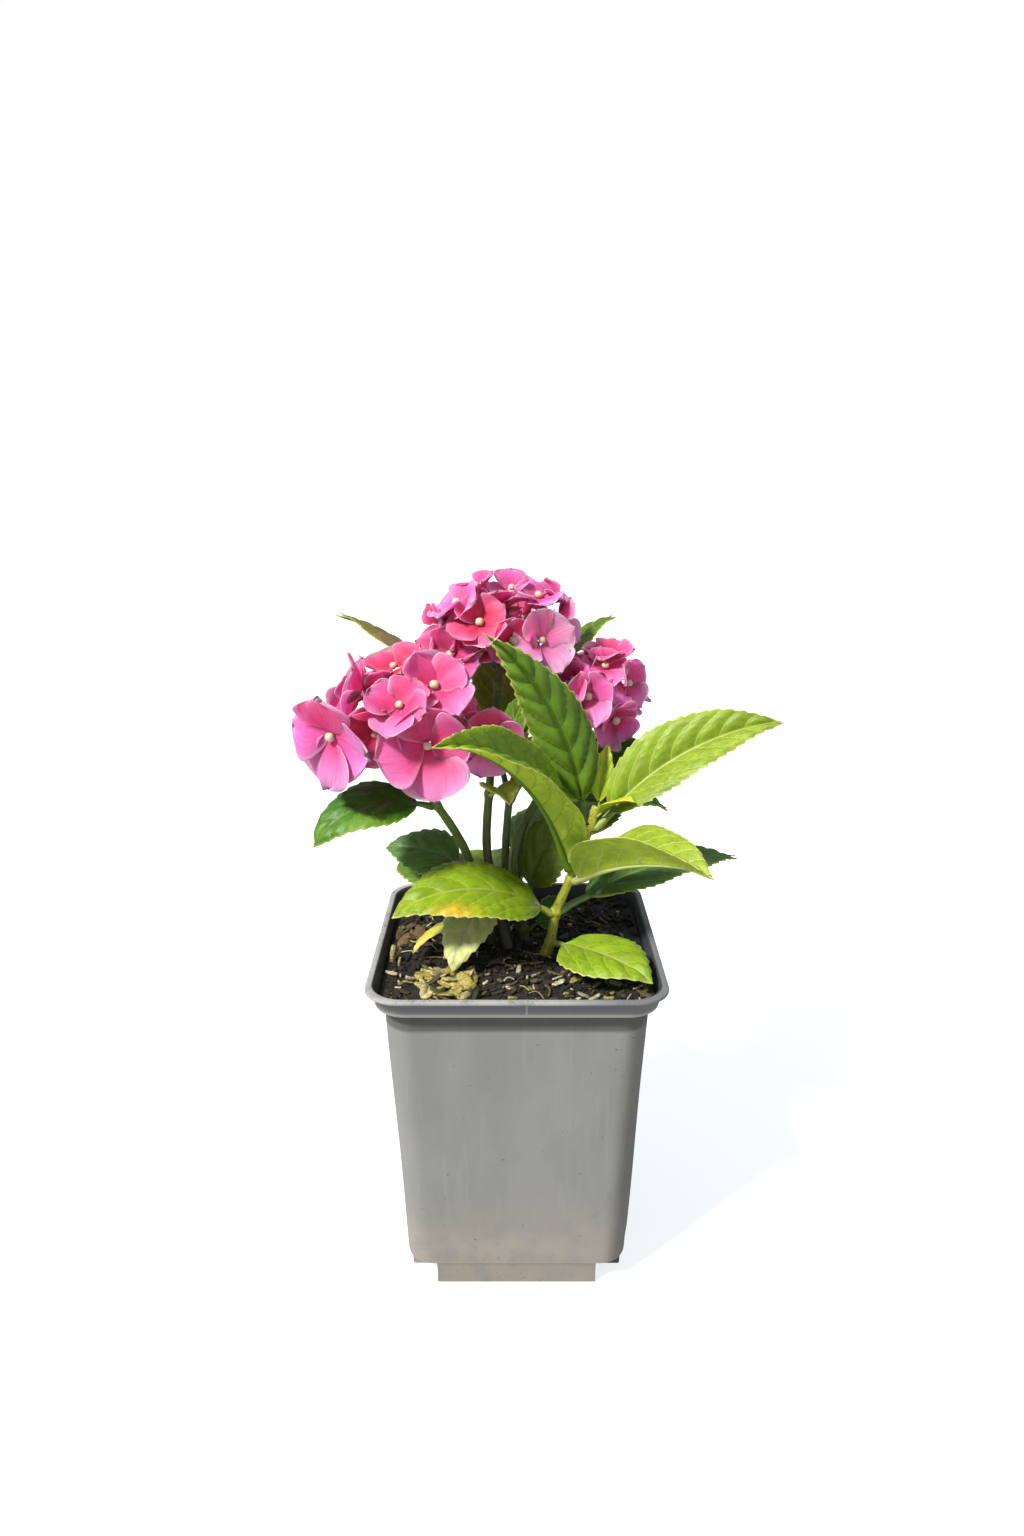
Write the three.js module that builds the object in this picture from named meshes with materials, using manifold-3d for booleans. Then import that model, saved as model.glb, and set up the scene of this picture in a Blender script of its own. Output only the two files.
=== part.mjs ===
// A young pink hydrangea in its square grey nursery pot.
// Millimetres and degrees, +Z up, the origin in the middle of the pot's flat
// underside, +Y towards the back. Directions called `toward` are turned from +X
// towards +Y, so 270 is the front and 90 the back.
import * as THREE from 'three';
import { mergeVertices } from 'three/addons/utils/BufferGeometryUtils.js';
import Module from 'manifold-3d';

const wasm = await Module();
wasm.setup();

// ---- driving dimensions ------------------------------------------------

const GAP = 0.3;                 // air between neighbouring pieces

const POT_HEIGHT = 142.7;
const RIM_HALF = 60;             // half the outside width across the lip
const LIP_DEPTH = 1.6;
const RIM_INNER_HALF = 57.1;
const BAND_TOP_HALF = 58;
const BAND_FOOT_HALF = 56.5;
const BAND_DEPTH = 8.7;          // lip and band together
const BODY_TOP_HALF = 52.9;
const BODY_FOOT_HALF = 46.9;
const FOOT_HALF = 45.8;
const FOOT_HEIGHT = 11;
const CORNER_RATIO = 0.23;       // corner radius over half width
const WALL = 1.3;
const FLOOR = 2;
const NOTCH_FROM = 34;           // corners of the foot are cut away beyond this
const DRAIN_RADIUS = 3.4;
const DRAIN_AT = 39.6;

const SOIL_LEVEL = 137;
const SOIL_FLAT_RADIUS = 25;     // level ground round the stems
const SOIL_BUMP = 1.1;

// Each shoot: the line it follows from the ground to its tip, its radii and its flare.
const SHOOTS = {
  front: {
    foot: 2.5, tip: 1.8,
    line: [[12.4, -7.7], [14.5, -8.5, 144], [16.8, -8, 157],
      [22.8, -10, 174], [30.7, -5, 194], [33.2, -4, 203]],
  },
  left: {
    foot: 2.4, tip: 1.9,
    line: [[-11, 4], [-14, 3.5, 152], [-21.9, 0, 182], [-33.7, -8, 206], [-43, -13, 221]],
  },
  centre: {
    foot: 2.4, tip: 1.9,
    line: [[-3.6, -2], [-7, 1, 150], [-12.7, 5, 180], [-11.3, 8, 211], [-8, 16, 247]],
  },
  right: {
    foot: 2.4, tip: 1.9,
    line: [[3.5, 5.5], [1.5, 5.5, 155], [-0.5, 6, 178], [6, 10.5, 196], [21, 18, 212], [36.6, 25, 226]],
  },
  back: {
    foot: 2.3, tip: 1.7,
    line: [[-5, 12.5], [-5, 12.5, 160], [-4.5, 12.5, 185], [-2, 15, 206], [3, 21, 219]],
  },
};
const STEM_FLARE = 1.3;          // foot swells to this many times its radius

// Leaves. stem and height say where the stalk starts, toward and rise the direction
// of the tip, arch how far the leaf bends down on the way, roll how far it is turned
// about its length, fold how far its halves are raised; length is base to tip, width
// across both halves, stalk the bare part.
const LEAVES = {
  leaf_front_upright: {
    stem: 'front', height: 196.7, toward: 178.6, rise: 62.4, arch: 44, roll: 75,
    fold: 12, length: 89, width: 28, stalk: 9,
  },
  leaf_front_arched: {
    stem: 'front', height: 178, toward: 226, rise: 43, arch: 56, roll: 33,
    fold: 45.5, length: 100, width: 42, stalk: 3.6,
  },
  leaf_front_long: {
    stem: 'front', height: 194, toward: 0, rise: 31.5, arch: 44, roll: -46,
    fold: 34, length: 88, width: 33, stalk: 9,
  },
  leaf_front_right: {
    stem: 'front', height: 173, toward: 316, rise: 17.5, arch: 35, roll: 5,
    fold: 50, length: 70, width: 45, stalk: 3,
  },
  leaf_front_under: {
    stem: 'front', height: 158, toward: 20, rise: 9, arch: 34, roll: -8,
    fold: 12, length: 86, width: 29, stalk: 12,
  },
  leaf_front_low: {
    stem: 'front', height: 157, toward: 201, rise: 8, arch: 66, roll: 16,
    fold: 10, length: 70, width: 40, stalk: 6,
  },
  leaf_front_ground: {
    stem: 'front', height: 143.5, toward: 316, rise: 1, arch: 30, roll: -4,
    fold: 6, length: 52, width: 35, stalk: 6,
  },
  leaf_young_tall: {
    stem: 'front', height: 201.5, toward: 60, rise: 73, arch: 20, roll: -30,
    fold: 24, length: 28, width: 10, stalk: 3,
  },
  leaf_young_short: {
    stem: 'front', height: 199.5, toward: 314, rise: 30, arch: 40, roll: 0,
    fold: 20, length: 22, width: 12, stalk: 3,
  },
  leaf_left_out: {
    stem: 'left', height: 205, toward: 204, rise: -12, arch: 76, roll: 14,
    fold: 8, length: 50, width: 33, stalk: 5,
  },
  leaf_left_shaded: {
    stem: 'left', height: 172, toward: 158, rise: 7, arch: 40, roll: 30,
    fold: 10, length: 40, width: 25, stalk: 5,
  },
  leaf_left_low_back: {
    stem: 'left', height: 158, toward: 130, rise: -2, arch: 40, roll: 10,
    fold: 10, length: 62, width: 32, stalk: 9,
  },
  leaf_hanging: {
    stem: 'centre', height: 163, toward: 243, rise: -34, arch: 44, roll: 0,
    fold: 12, length: 41, width: 23.5, stalk: 5,
  },
  leaf_hanging_yellow: {
    stem: 'left', height: 149, toward: 210, rise: -13, arch: 50, roll: -20,
    fold: 12, length: 34, width: 18, stalk: 5,
  },
  leaf_centre_left_tip: {
    stem: 'centre', height: 229, toward: 156, rise: 34, arch: 24, roll: -14,
    fold: 10, length: 88, width: 30, stalk: 22,
  },
  leaf_centre_right_tip: {
    stem: 'centre', height: 234, toward: 52, rise: 32, arch: 20, roll: 12,
    fold: 10, length: 81, width: 24, stalk: 26,
  },
  leaf_centre_shaded: {
    stem: 'centre', height: 219, toward: 336, rise: 70, arch: 24, roll: -50,
    fold: 12, length: 32, width: 20, stalk: 6,
  },
  leaf_centre_cupped: {
    stem: 'centre', height: 205, toward: 290, rise: 8, arch: 60, roll: 0,
    fold: 34, length: 24, width: 20, stalk: 4,
  },
  leaf_right_shaded: {
    stem: 'right', height: 212, toward: 350, rise: 20, arch: 30, roll: -30,
    fold: 12, length: 34, width: 22, stalk: 5,
  },
  leaf_right_tip: {
    stem: 'right', height: 200, toward: 13, rise: -3, arch: 40, roll: -10,
    fold: 12, length: 57, width: 26, stalk: 8,
  },
  leaf_right_back: {
    stem: 'right', height: 166, toward: 66, rise: 12, arch: 44, roll: 0,
    fold: 12, length: 68, width: 36, stalk: 10,
  },
  leaf_back_olive: {
    stem: 'right', height: 160, toward: 340, rise: 64, arch: 30, roll: -60,
    fold: 12, length: 42, width: 29, stalk: 5,
  },
  leaf_inner_low: {
    stem: 'right', height: 143, toward: 350, rise: 40, arch: 30, roll: -30,
    fold: 12, length: 21, width: 18, stalk: 5,
  },
  leaf_front_behind: {
    stem: 'front', height: 184, toward: 84, rise: 3, arch: 30, roll: 0,
    fold: 14, length: 60, width: 34, stalk: 10,
  },
  leaf_left_behind: {
    stem: 'left', height: 212, toward: 112, rise: 4, arch: 40, roll: 0,
    fold: 12, length: 54, width: 30, stalk: 8,
  },
  leaf_back_low: {
    stem: 'back', height: 152, toward: 98, rise: 3, arch: 50, roll: 0,
    fold: 12, length: 72, width: 40, stalk: 10,
  },
  leaf_back_left: {
    stem: 'back', height: 203, toward: 120, rise: 42, arch: 60, roll: 0,
    fold: 14, length: 62, width: 36, stalk: 10,
  },
  leaf_back_tall: {
    stem: 'back', height: 215, toward: 106, rise: 42, arch: 60, roll: 0,
    fold: 14, length: 66, width: 33, stalk: 10,
  },
  leaf_back_right: {
    stem: 'back', height: 200, toward: 62, rise: 12, arch: 50, roll: 0,
    fold: 14, length: 60, width: 32, stalk: 9,
  },
};

// Blooms. dome is the middle of the dome that the florets lie on, reach its half
// sizes, floret the usual radius of a floret. lead gives the florets set one by one
// as [x, y, z, toward, rise, radius, spin], toward and rise saying where it faces;
// the rest fill the dome at least `spacing` apart, down to `lowest`, and leave its
// lower part bare between the two directions of `bare`, where a neighbour stands.
const BLOOMS = {
  bloom_top: {
    stem: 'centre', dome: [-7, 28, 270], reach: [25, 22, 18],
    floret: 13, spacing: 17, lowest: -20, bare: [270, 425],
    lead: [
      [-24, 17, 284, 215, 45, 13, 10],
      [-33, 21, 274, 190, 8, 12.5, 30],
      [-27, 13, 265, 252, 8, 15, 80],
      [-15, 8, 275, 262, 42, 15, 30],
      [-2, 6, 271, 285, 5, 11, 45],
      [3, 7, 269, 300, 0, 16, 20],
      [8, 16, 281, 300, 48, 14, 10],
      [-17, 29, 289, 200, 68, 11, 0],
      [-2, 33, 291, 270, 85, 12, 20],
      [15, 31, 285, 10, 50, 11, 10],
      [18, 25, 277, 350, 15, 12.5, 15],
      [17.5, 16.5, 257, 315, -22, 10, 40],
    ],
  },
  bloom_left: {
    stem: 'left', dome: [-45, -13, 237], reach: [32, 21, 24],
    floret: 16, spacing: 21, lowest: -15, bare: [350, 455],
    lead: [
      [-70, -30, 240, 236, -8, 22, 12],
      [-60, -20, 255, 212, 38, 17, 20],
      [-54, -28, 241, 258, -10, 15, 60],
      [-44, -34, 252, 255, 38, 16, 90],
      [-32, -22, 258, 276, 50, 19, 40],
      [-31, -34, 238, 275, 6, 19.5, 100],
      [-48, -10, 262, 200, 62, 14, 0],
      [-12, -11, 234, 278, 0, 16, 80],
    ],
  },
  bloom_right: {
    stem: 'right', dome: [35, 23, 247], reach: [16, 14, 15],
    floret: 11.5, spacing: 14.5, lowest: -25, bare: [95, 262],
    lead: [
      [31, 9, 248, 262, 10, 12.5, 20],
      [43, 12, 237, 302, -22, 12, 50],
      [37.5, 19, 257, 272, 58, 11.5, 10],
      [48, 17, 251, 328, 15, 12, 30],
      [41, 28, 263, 60, 72, 12, 0],
    ],
  },
};

const LEAF_THICKNESS = 1;
const STALK_THICKNESS = 2.2;
const STALK_HALF_WIDTH = 1.2;
const LEAF_TIP_HALF_WIDTH = 0.25;
const LEAF_SHOULDER = 0.64;      // how full the leaf is near its base
const LEAF_TAPER = 1.02;         // how drawn out its point is
const LEAF_CAMBER = 0.16;        // how far the margins curl down again
const PETAL_THICKNESS = 0.7;
const FLORET_NOTCH = 0.62;       // radius between two petals over the full radius
const FLORET_CUP = 0.16;         // rise of the petal edges over the radius
const BEAD_RADIUS = 1.5;
const PEDICEL_RADIUS = 0.75;
const HUB_RADIUS = 3.6;
const PEDUNCLE_LENGTH = 5.5;

// ---- solids ------------------------------------------------------------

const RAD = Math.PI / 180;
const vec = (x, y, z) => new THREE.Vector3(x, y, z);

function solid(geometry) {
  const bare = geometry.clone();
  bare.deleteAttribute('normal');
  bare.deleteAttribute('uv');
  const merged = mergeVertices(bare, 1e-5);
  return new wasm.Manifold(new wasm.Mesh({
    numProp: 3,
    vertProperties: Float32Array.from(merged.attributes.position.array),
    triVerts: Uint32Array.from(merged.index.array),
  }));
}

function shell(manifold) {
  const mesh = manifold.getMesh();
  const geometry = new THREE.BufferGeometry();
  geometry.setAttribute('position', new THREE.BufferAttribute(Float32Array.from(mesh.vertProperties), 3));
  geometry.setIndex(new THREE.BufferAttribute(Uint32Array.from(mesh.triVerts), 1));
  geometry.computeVertexNormals();
  return geometry;
}

function join(pieces) {
  return pieces.reduce((all, piece) => all.add(piece));
}

function bend(geometry, move) {
  const position = geometry.attributes.position;
  const point = vec(0, 0, 0);
  for (let i = 0; i < position.count; i++) {
    move(point.fromBufferAttribute(position, i));
    position.setXYZ(i, point.x, point.y, point.z);
  }
  return geometry;
}

function box(x0, x1, y0, y1, z0, z1) {
  const geometry = new THREE.BoxGeometry(x1 - x0, y1 - y0, z1 - z0);
  geometry.translate((x0 + x1) / 2, (y0 + y1) / 2, (z0 + z1) / 2);
  return solid(geometry);
}

// ---- the square pot and the soil in it ------------------------------------

const ARC_SPANS = 5;
const RING = 4 * (ARC_SPANS + 1);
const CORNERS = [[1, 1], [-1, 1], [-1, -1], [1, -1]];

// Point i of a ring on a square of half width `half` with rounded corners.
function squarePoint(i, half) {
  const corner = Math.floor(i / (ARC_SPANS + 1)) % 4;
  const turn = (corner * 90 + (i % (ARC_SPANS + 1)) * 90 / ARC_SPANS) * RAD;
  const radius = CORNER_RATIO * half;
  const middle = (corner * 90 + 45) * RAD;
  const out = (half - radius) * Math.SQRT2;
  return [
    out * Math.cos(middle) + radius * Math.cos(turn),
    out * Math.sin(middle) + radius * Math.sin(turn),
  ];
}

// A closed loft through square rings; profile is a list of [half width, height].
function squareLoft(profile, relief = () => 0) {
  const points = profile.map(([half, z]) => new THREE.Vector2(half, z));
  const geometry = new THREE.LatheGeometry(points, RING);
  return solid(bend(geometry, (p) => {
    const half = Math.hypot(p.x, p.z);
    const i = Math.round(Math.atan2(p.x, p.z) / (2 * Math.PI) * RING + RING) % RING;
    const [x, y] = half < 1e-6 ? [0, 0] : squarePoint(i, half);
    p.set(x, y, p.y + relief(x, y, p.y));
  }));
}

// The space beyond `from` at the pot's four corners, up to `top`.
function cornerBoxes(from, top) {
  const far = 2 * RIM_HALF;
  return join(CORNERS.map(([sx, sy]) => box(
    Math.min(sx * from, sx * far), Math.max(sx * from, sx * far),
    Math.min(sy * from, sy * far), Math.max(sy * from, sy * far), -1, top)));
}

const BAND_Z = POT_HEIGHT - BAND_DEPTH;
const SHOULDER_Z = BAND_Z + 0.9;
const LIP_Z = POT_HEIGHT - LIP_DEPTH;
const NOTCH_ROOF = FOOT_HEIGHT + WALL + 0.5;

// Half the outside width of the body at height z.
function bodyHalf(z) {
  const share = (z - FOOT_HEIGHT) / (BAND_Z - FOOT_HEIGHT);
  return BODY_FOOT_HALF + (BODY_TOP_HALF - BODY_FOOT_HALF) * share;
}

// The inside of the foot, drawn in by `inset`.
function insideFoot(inset) {
  return [
    [0, FLOOR + inset],
    [FOOT_HALF - WALL - inset, FLOOR + inset],
    [FOOT_HALF - WALL - inset, FOOT_HEIGHT],
    [bodyHalf(FOOT_HEIGHT + 1.5) - WALL - inset, FOOT_HEIGHT + 1.5],
  ];
}

// The whole inside of the pot, past its open top.
function cavityProfile() {
  const top = POT_HEIGHT + 2;
  return [
    ...insideFoot(0),
    [bodyHalf(SHOULDER_Z) - WALL, SHOULDER_Z],
    [BAND_FOOT_HALF - WALL, BAND_Z + 1.8],
    [BAND_TOP_HALF - WALL, LIP_Z],
    [RIM_INNER_HALF, POT_HEIGHT - 0.4],
    [RIM_INNER_HALF, top],
    [0, top],
  ];
}

function pot() {
  const outer = squareLoft([
    [0, 0],
    [FOOT_HALF - 0.3, 0],
    [FOOT_HALF, FOOT_HEIGHT],
    [BODY_FOOT_HALF, FOOT_HEIGHT + 0.8],
    [BODY_TOP_HALF, BAND_Z],
    [BAND_FOOT_HALF, BAND_Z],
    [BAND_TOP_HALF, LIP_Z],
    [RIM_HALF - 0.4, LIP_Z],
    [RIM_HALF, LIP_Z + 0.4],
    [RIM_HALF, POT_HEIGHT - 0.6],
    [RIM_HALF - 0.6, POT_HEIGHT],
    [0, POT_HEIGHT],
  ]);
  const cavity = squareLoft(cavityProfile()).subtract(cornerBoxes(NOTCH_FROM - WALL, NOTCH_ROOF));
  let body = outer.subtract(cornerBoxes(NOTCH_FROM, FOOT_HEIGHT)).subtract(cavity);
  for (const [sx, sy] of CORNERS) {
    const drain = new THREE.CylinderGeometry(DRAIN_RADIUS, DRAIN_RADIUS, 6, 12).rotateX(Math.PI / 2);
    drain.translate(sx * DRAIN_AT, sy * DRAIN_AT, FOOT_HEIGHT + 1);
    body = body.subtract(solid(drain));
  }
  return body;
}

function soilRelief(x, y, z) {
  const far = Math.hypot(x, y) - SOIL_FLAT_RADIUS;
  const edge = BODY_TOP_HALF - 2 - Math.max(Math.abs(x), Math.abs(y));
  if (z < SOIL_LEVEL - 0.01 || far <= 0 || edge <= 0) return 0;
  const wave = Math.sin(x / 7.1 + 1) * Math.cos(y / 6.3) + 0.6 * Math.sin((x - y) / 4.7 + 2);
  return SOIL_BUMP * Math.min(1, far / 8) * wave;
}

function soil() {
  const edge = bodyHalf(BAND_Z) - WALL - GAP;
  const rings = [1, 0.85, 0.68, 0.52, 0.37].map((k) => [edge * k, SOIL_LEVEL]);
  const block = squareLoft([...insideFoot(GAP), ...rings, [0, SOIL_LEVEL]], soilRelief);
  return block.subtract(cornerBoxes(NOTCH_FROM - WALL - GAP, NOTCH_ROOF + GAP));
}

// ---- stems -----------------------------------------------------------------

function shootCurve(shoot) {
  const points = shoot.line.map(([x, y, z = SOIL_LEVEL + GAP]) => vec(x, y, z));
  return new THREE.CatmullRomCurve3(points, false, 'centripetal');
}

const CURVES = Object.fromEntries(Object.keys(SHOOTS).map((name) => [name, shootCurve(SHOOTS[name])]));

function shootRadius(shoot, t) {
  const flare = 1 + (STEM_FLARE - 1) * Math.max(0, 1 - t / 0.08);
  return (shoot.foot + (shoot.tip - shoot.foot) * t) * flare;
}

function stem(name) {
  const shoot = SHOOTS[name];
  const curve = CURVES[name];
  const geometry = new THREE.CylinderGeometry(1, 1, 1, 8, 12);
  return solid(bend(geometry, (p) => {
    const t = Math.min(1, Math.max(0, p.y + 0.5));
    const centre = curve.getPointAt(t);
    const along = t === 0 ? vec(0, 0, 1) : curve.getTangentAt(t);
    const side = vec(1, 0, 0).addScaledVector(along, -along.x).normalize();
    const front = along.clone().cross(side);
    const r = shootRadius(shoot, t);
    p.copy(centre.addScaledVector(side, r * p.x).addScaledVector(front, -r * p.z));
  }));
}

// The place on a shoot at a height above the ground plane.
function shootAt(name, z) {
  const curve = CURVES[name];
  let low = 0;
  let high = 1;
  for (let i = 0; i < 30; i++) {
    const t = (low + high) / 2;
    if (curve.getPointAt(t).z < z) low = t;
    else high = t;
  }
  return { centre: curve.getPointAt(low), radius: shootRadius(SHOOTS[name], low) };
}

// ---- leaves ------------------------------------------------------------------

const LEAF_SPANS = 8;
const SEATING_STEPS = 7;
const SHAPE_PEAK = LEAF_SHOULDER ** LEAF_SHOULDER * LEAF_TAPER ** LEAF_TAPER
  / (LEAF_SHOULDER + LEAF_TAPER) ** (LEAF_SHOULDER + LEAF_TAPER);

function leafHalfWidth(u, width) {
  return width / 2 * u ** LEAF_SHOULDER * (1 - u) ** LEAF_TAPER / SHAPE_PEAK;
}

// A line that runs straight for the bare share of its length and then bends down by
// `arch`, turned so that base to tip keeps toward and rise.
function leafLine(leaf, start) {
  const steps = 60;
  const bare = leaf.stalk / leaf.length;
  const bent = (s) => Math.max(0, (s - bare) / (1 - bare));
  const sag = vec(0, 0, 0);
  for (let i = 0; i < steps; i++) {
    const angle = -leaf.arch * bent((i + 0.5) / steps) * RAD;
    sag.add(vec(Math.cos(angle), 0, Math.sin(angle)));
  }
  const lead = leaf.rise - Math.atan2(sag.z, sag.x) / RAD;
  const turn = leaf.toward * RAD;
  const level = vec(-Math.sin(turn), Math.cos(turn), 0);
  const direction = (s) => {
    const up = (lead - leaf.arch * bent(s)) * RAD;
    return vec(Math.cos(up) * Math.cos(turn), Math.cos(up) * Math.sin(turn), Math.sin(up));
  };
  const scale = leaf.length / sag.length();
  return (s) => {
    const point = start.clone();
    for (let i = 0; i < steps; i++) {
      const share = Math.min(1, Math.max(0, s * steps - i));
      point.addScaledVector(direction((i + 0.5) / steps), scale * share);
    }
    const over = direction(s).cross(level);
    const roll = leaf.roll * RAD;
    const side = level.clone().multiplyScalar(Math.cos(roll)).addScaledVector(over, -Math.sin(roll));
    const normal = over.clone().multiplyScalar(Math.cos(roll)).addScaledVector(level, Math.sin(roll));
    return { point, side, normal };
  };
}

function leafAt(leaf, away) {
  const node = shootAt(leaf.stem, leaf.height);
  const turn = leaf.toward * RAD;
  const start = node.centre.addScaledVector(vec(Math.cos(turn), Math.sin(turn), 0), node.radius + away);
  const line = leafLine(leaf, start);
  const bare = leaf.stalk / leaf.length;
  const fold = leaf.fold * RAD;
  const geometry = new THREE.BoxGeometry(1, 1, 1, LEAF_SPANS, 4, 1);
  return solid(bend(geometry, (p) => {
    const k = Math.round((p.x + 0.5) * LEAF_SPANS);
    const u = Math.max(0, (k - 1) / (LEAF_SPANS - 1));
    const s = k === 0 ? 0 : bare + (1 - bare) * u;
    const least = STALK_HALF_WIDTH + (LEAF_TIP_HALF_WIDTH - STALK_HALF_WIDTH) * u;
    const half = Math.max(least, leafHalfWidth(u, leaf.width));
    const thick = k <= 1 ? STALK_THICKNESS : LEAF_THICKNESS;
    const v = 2 * p.y;
    const across = half * v * Math.cos(fold);
    const lift = half > 2 ? half * (Math.abs(v) * Math.sin(fold) - LEAF_CAMBER * v * v) : 0;
    const { point, side, normal } = line(s);
    point.addScaledVector(side, across).addScaledVector(normal, lift + p.z * thick);
    p.copy(point);
  }));
}

// Slides the leaf along its own direction until its stalk is GAP clear of the stem.
function leaf(name) {
  const shape = LEAVES[name];
  const limb = STEMS[shape.stem];
  let away = 4;
  for (let i = 0; i < SEATING_STEPS; i++) away -= leafAt(shape, away).minGap(limb, 12) - GAP;
  return leafAt(shape, away);
}

// ---- blooms ------------------------------------------------------------------

// One petal runs from a notch over two broad corners to the next notch.
const PETAL_ANGLES = [-45, -26, 0, 26];
const PETAL_REACH = [FLORET_NOTCH, 0.93, 1, 0.93];

// The frame of something that faces a direction: level to its right, then up it.
function facingFrame(toward, rise) {
  const turn = toward * RAD;
  const up = rise * RAD;
  const facing = vec(Math.cos(up) * Math.cos(turn), Math.cos(up) * Math.sin(turn), Math.sin(up));
  const right = vec(-Math.sin(turn), Math.cos(turn), 0);
  return { facing, right, top: facing.clone().cross(right) };
}

// One floret: four petals as a shallow cup with a bead in the middle, on its pedicel.
function floret(from, { at, toward, rise, radius, spin }) {
  const { facing, right, top } = facingFrame(toward, rise);
  const around = 4 * PETAL_ANGLES.length;
  const cup = new THREE.CylinderGeometry(1, 1, PETAL_THICKNESS, around, 1);
  bend(cup, (p) => {
    const r = Math.hypot(p.x, p.z);
    const k = Math.round(Math.atan2(-p.z, p.x) / (2 * Math.PI) * around + around) % around;
    const reach = r < 0.01 ? 0 : radius * PETAL_REACH[k % PETAL_REACH.length];
    const a = (90 * Math.floor(k / PETAL_REACH.length) + PETAL_ANGLES[k % PETAL_REACH.length] + spin) * RAD;
    const lift = p.y + reach * FLORET_CUP;
    p.copy(at).addScaledVector(facing, lift);
    p.addScaledVector(right, reach * Math.cos(a)).addScaledVector(top, reach * Math.sin(a));
  });
  const bead = new THREE.OctahedronGeometry(BEAD_RADIUS, 0);
  bead.translate(at.x + facing.x * 0.6, at.y + facing.y * 0.6, at.z + facing.z * 0.6);
  return join([solid(cup), solid(bead), rod(from, at, PEDICEL_RADIUS, 3)]);
}

function rod(from, to, radius, sides) {
  const along = to.clone().sub(from);
  const geometry = new THREE.CylinderGeometry(radius, radius, along.length(), sides, 1);
  const turned = new THREE.Quaternion().setFromUnitVectors(vec(0, 1, 0), along.clone().normalize());
  geometry.applyQuaternion(turned);
  geometry.translate((from.x + to.x) / 2, (from.y + to.y) / 2, (from.z + to.z) / 2);
  return solid(geometry);
}

// Where the florets of a bloom sit: those set one by one, then an even spread.
function floretPlaces(shape, hub) {
  const dome = vec(...shape.dome);
  const reach = vec(...shape.reach);
  const places = shape.lead.map(([x, y, z, toward, rise, radius, spin]) => (
    { at: vec(x, y, z), toward, rise, radius, spin }));
  const tries = 90;
  const low = Math.sin(shape.lowest * RAD);
  for (let i = 0; i < tries; i++) {
    const height = 1 - (1 - low) * (i + 0.5) / tries;
    const out = Math.sqrt(1 - height * height);
    const turn = i * 137.508 * RAD;
    const at = vec(out * Math.cos(turn), out * Math.sin(turn), height).multiply(reach).add(dome);
    const bearing = (i * 137.508 - shape.bare[0] + 720) % 360;
    const crowded = height < 0.75 && bearing < shape.bare[1] - shape.bare[0];
    if (crowded || places.some((other) => other.at.distanceTo(at) < shape.spacing)) continue;
    const away = at.clone().sub(hub);
    places.push({
      at,
      toward: Math.atan2(away.y, away.x) / RAD,
      rise: Math.atan2(away.z, Math.hypot(away.x, away.y)) / RAD - 12,
      radius: shape.floret * (0.95 + 0.05 * Math.cos(i)),
      spin: i * 40,
    });
  }
  return places;
}

function bloom(name) {
  const shape = BLOOMS[name];
  const curve = CURVES[shape.stem];
  const along = curve.getTangentAt(1);
  const start = curve.getPointAt(1).addScaledVector(along, GAP);
  const hub = start.clone().addScaledVector(along, PEDUNCLE_LENGTH);
  const heart = new THREE.IcosahedronGeometry(HUB_RADIUS, 1);
  heart.translate(hub.x, hub.y, hub.z);
  const pieces = [rod(start, hub, SHOOTS[shape.stem].tip, 8), solid(heart)];
  for (const place of floretPlaces(shape, hub)) pieces.push(floret(hub, place));
  return join(pieces);
}

// ---- the plant -----------------------------------------------------------------

const STEMS = Object.fromEntries(Object.keys(SHOOTS).map((name) => [name, stem(name)]));

const LOOKS = {
  pot: { color: 0x8f918d, roughness: 0.6 },
  soil: { color: 0x2b221a, roughness: 1 },
  stem: { color: 0x7f9a3a, roughness: 0.7 },
  leaf: { color: 0x6f9a22, roughness: 0.5 },
  bloom: { color: 0xe0559a, roughness: 0.7 },
};

const plant = new THREE.Group();

function place(name, manifold, look) {
  const material = new THREE.MeshStandardMaterial({ ...LOOKS[look], metalness: 0 });
  const mesh = new THREE.Mesh(shell(manifold), material);
  mesh.name = name;
  plant.add(mesh);
}

place('pot', pot(), 'pot');
place('potting_soil', soil(), 'soil');
for (const name of Object.keys(SHOOTS)) place(`stem_${name}`, STEMS[name], 'stem');
for (const name of Object.keys(LEAVES)) place(name, leaf(name), 'leaf');
for (const name of Object.keys(BLOOMS)) place(name, bloom(name), 'bloom');

export default plant;
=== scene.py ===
import math

import bpy
import numpy as np
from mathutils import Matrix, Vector


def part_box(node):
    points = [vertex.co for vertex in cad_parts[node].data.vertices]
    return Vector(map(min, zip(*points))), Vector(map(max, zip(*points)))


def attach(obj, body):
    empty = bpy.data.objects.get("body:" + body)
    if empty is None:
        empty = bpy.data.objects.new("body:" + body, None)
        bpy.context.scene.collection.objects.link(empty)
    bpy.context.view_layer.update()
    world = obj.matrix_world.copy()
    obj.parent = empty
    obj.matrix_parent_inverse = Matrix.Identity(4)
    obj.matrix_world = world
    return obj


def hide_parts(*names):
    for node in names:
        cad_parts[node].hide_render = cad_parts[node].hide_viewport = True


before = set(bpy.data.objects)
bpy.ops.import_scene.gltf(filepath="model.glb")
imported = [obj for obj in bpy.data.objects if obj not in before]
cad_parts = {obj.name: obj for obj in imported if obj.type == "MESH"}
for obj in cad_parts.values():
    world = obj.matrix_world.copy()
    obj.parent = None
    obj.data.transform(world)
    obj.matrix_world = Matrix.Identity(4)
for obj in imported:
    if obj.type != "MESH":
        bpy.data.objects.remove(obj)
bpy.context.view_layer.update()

MM = 0.001
RAD = math.pi / 180

# ---- the pot, the soil and the shoots

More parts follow.
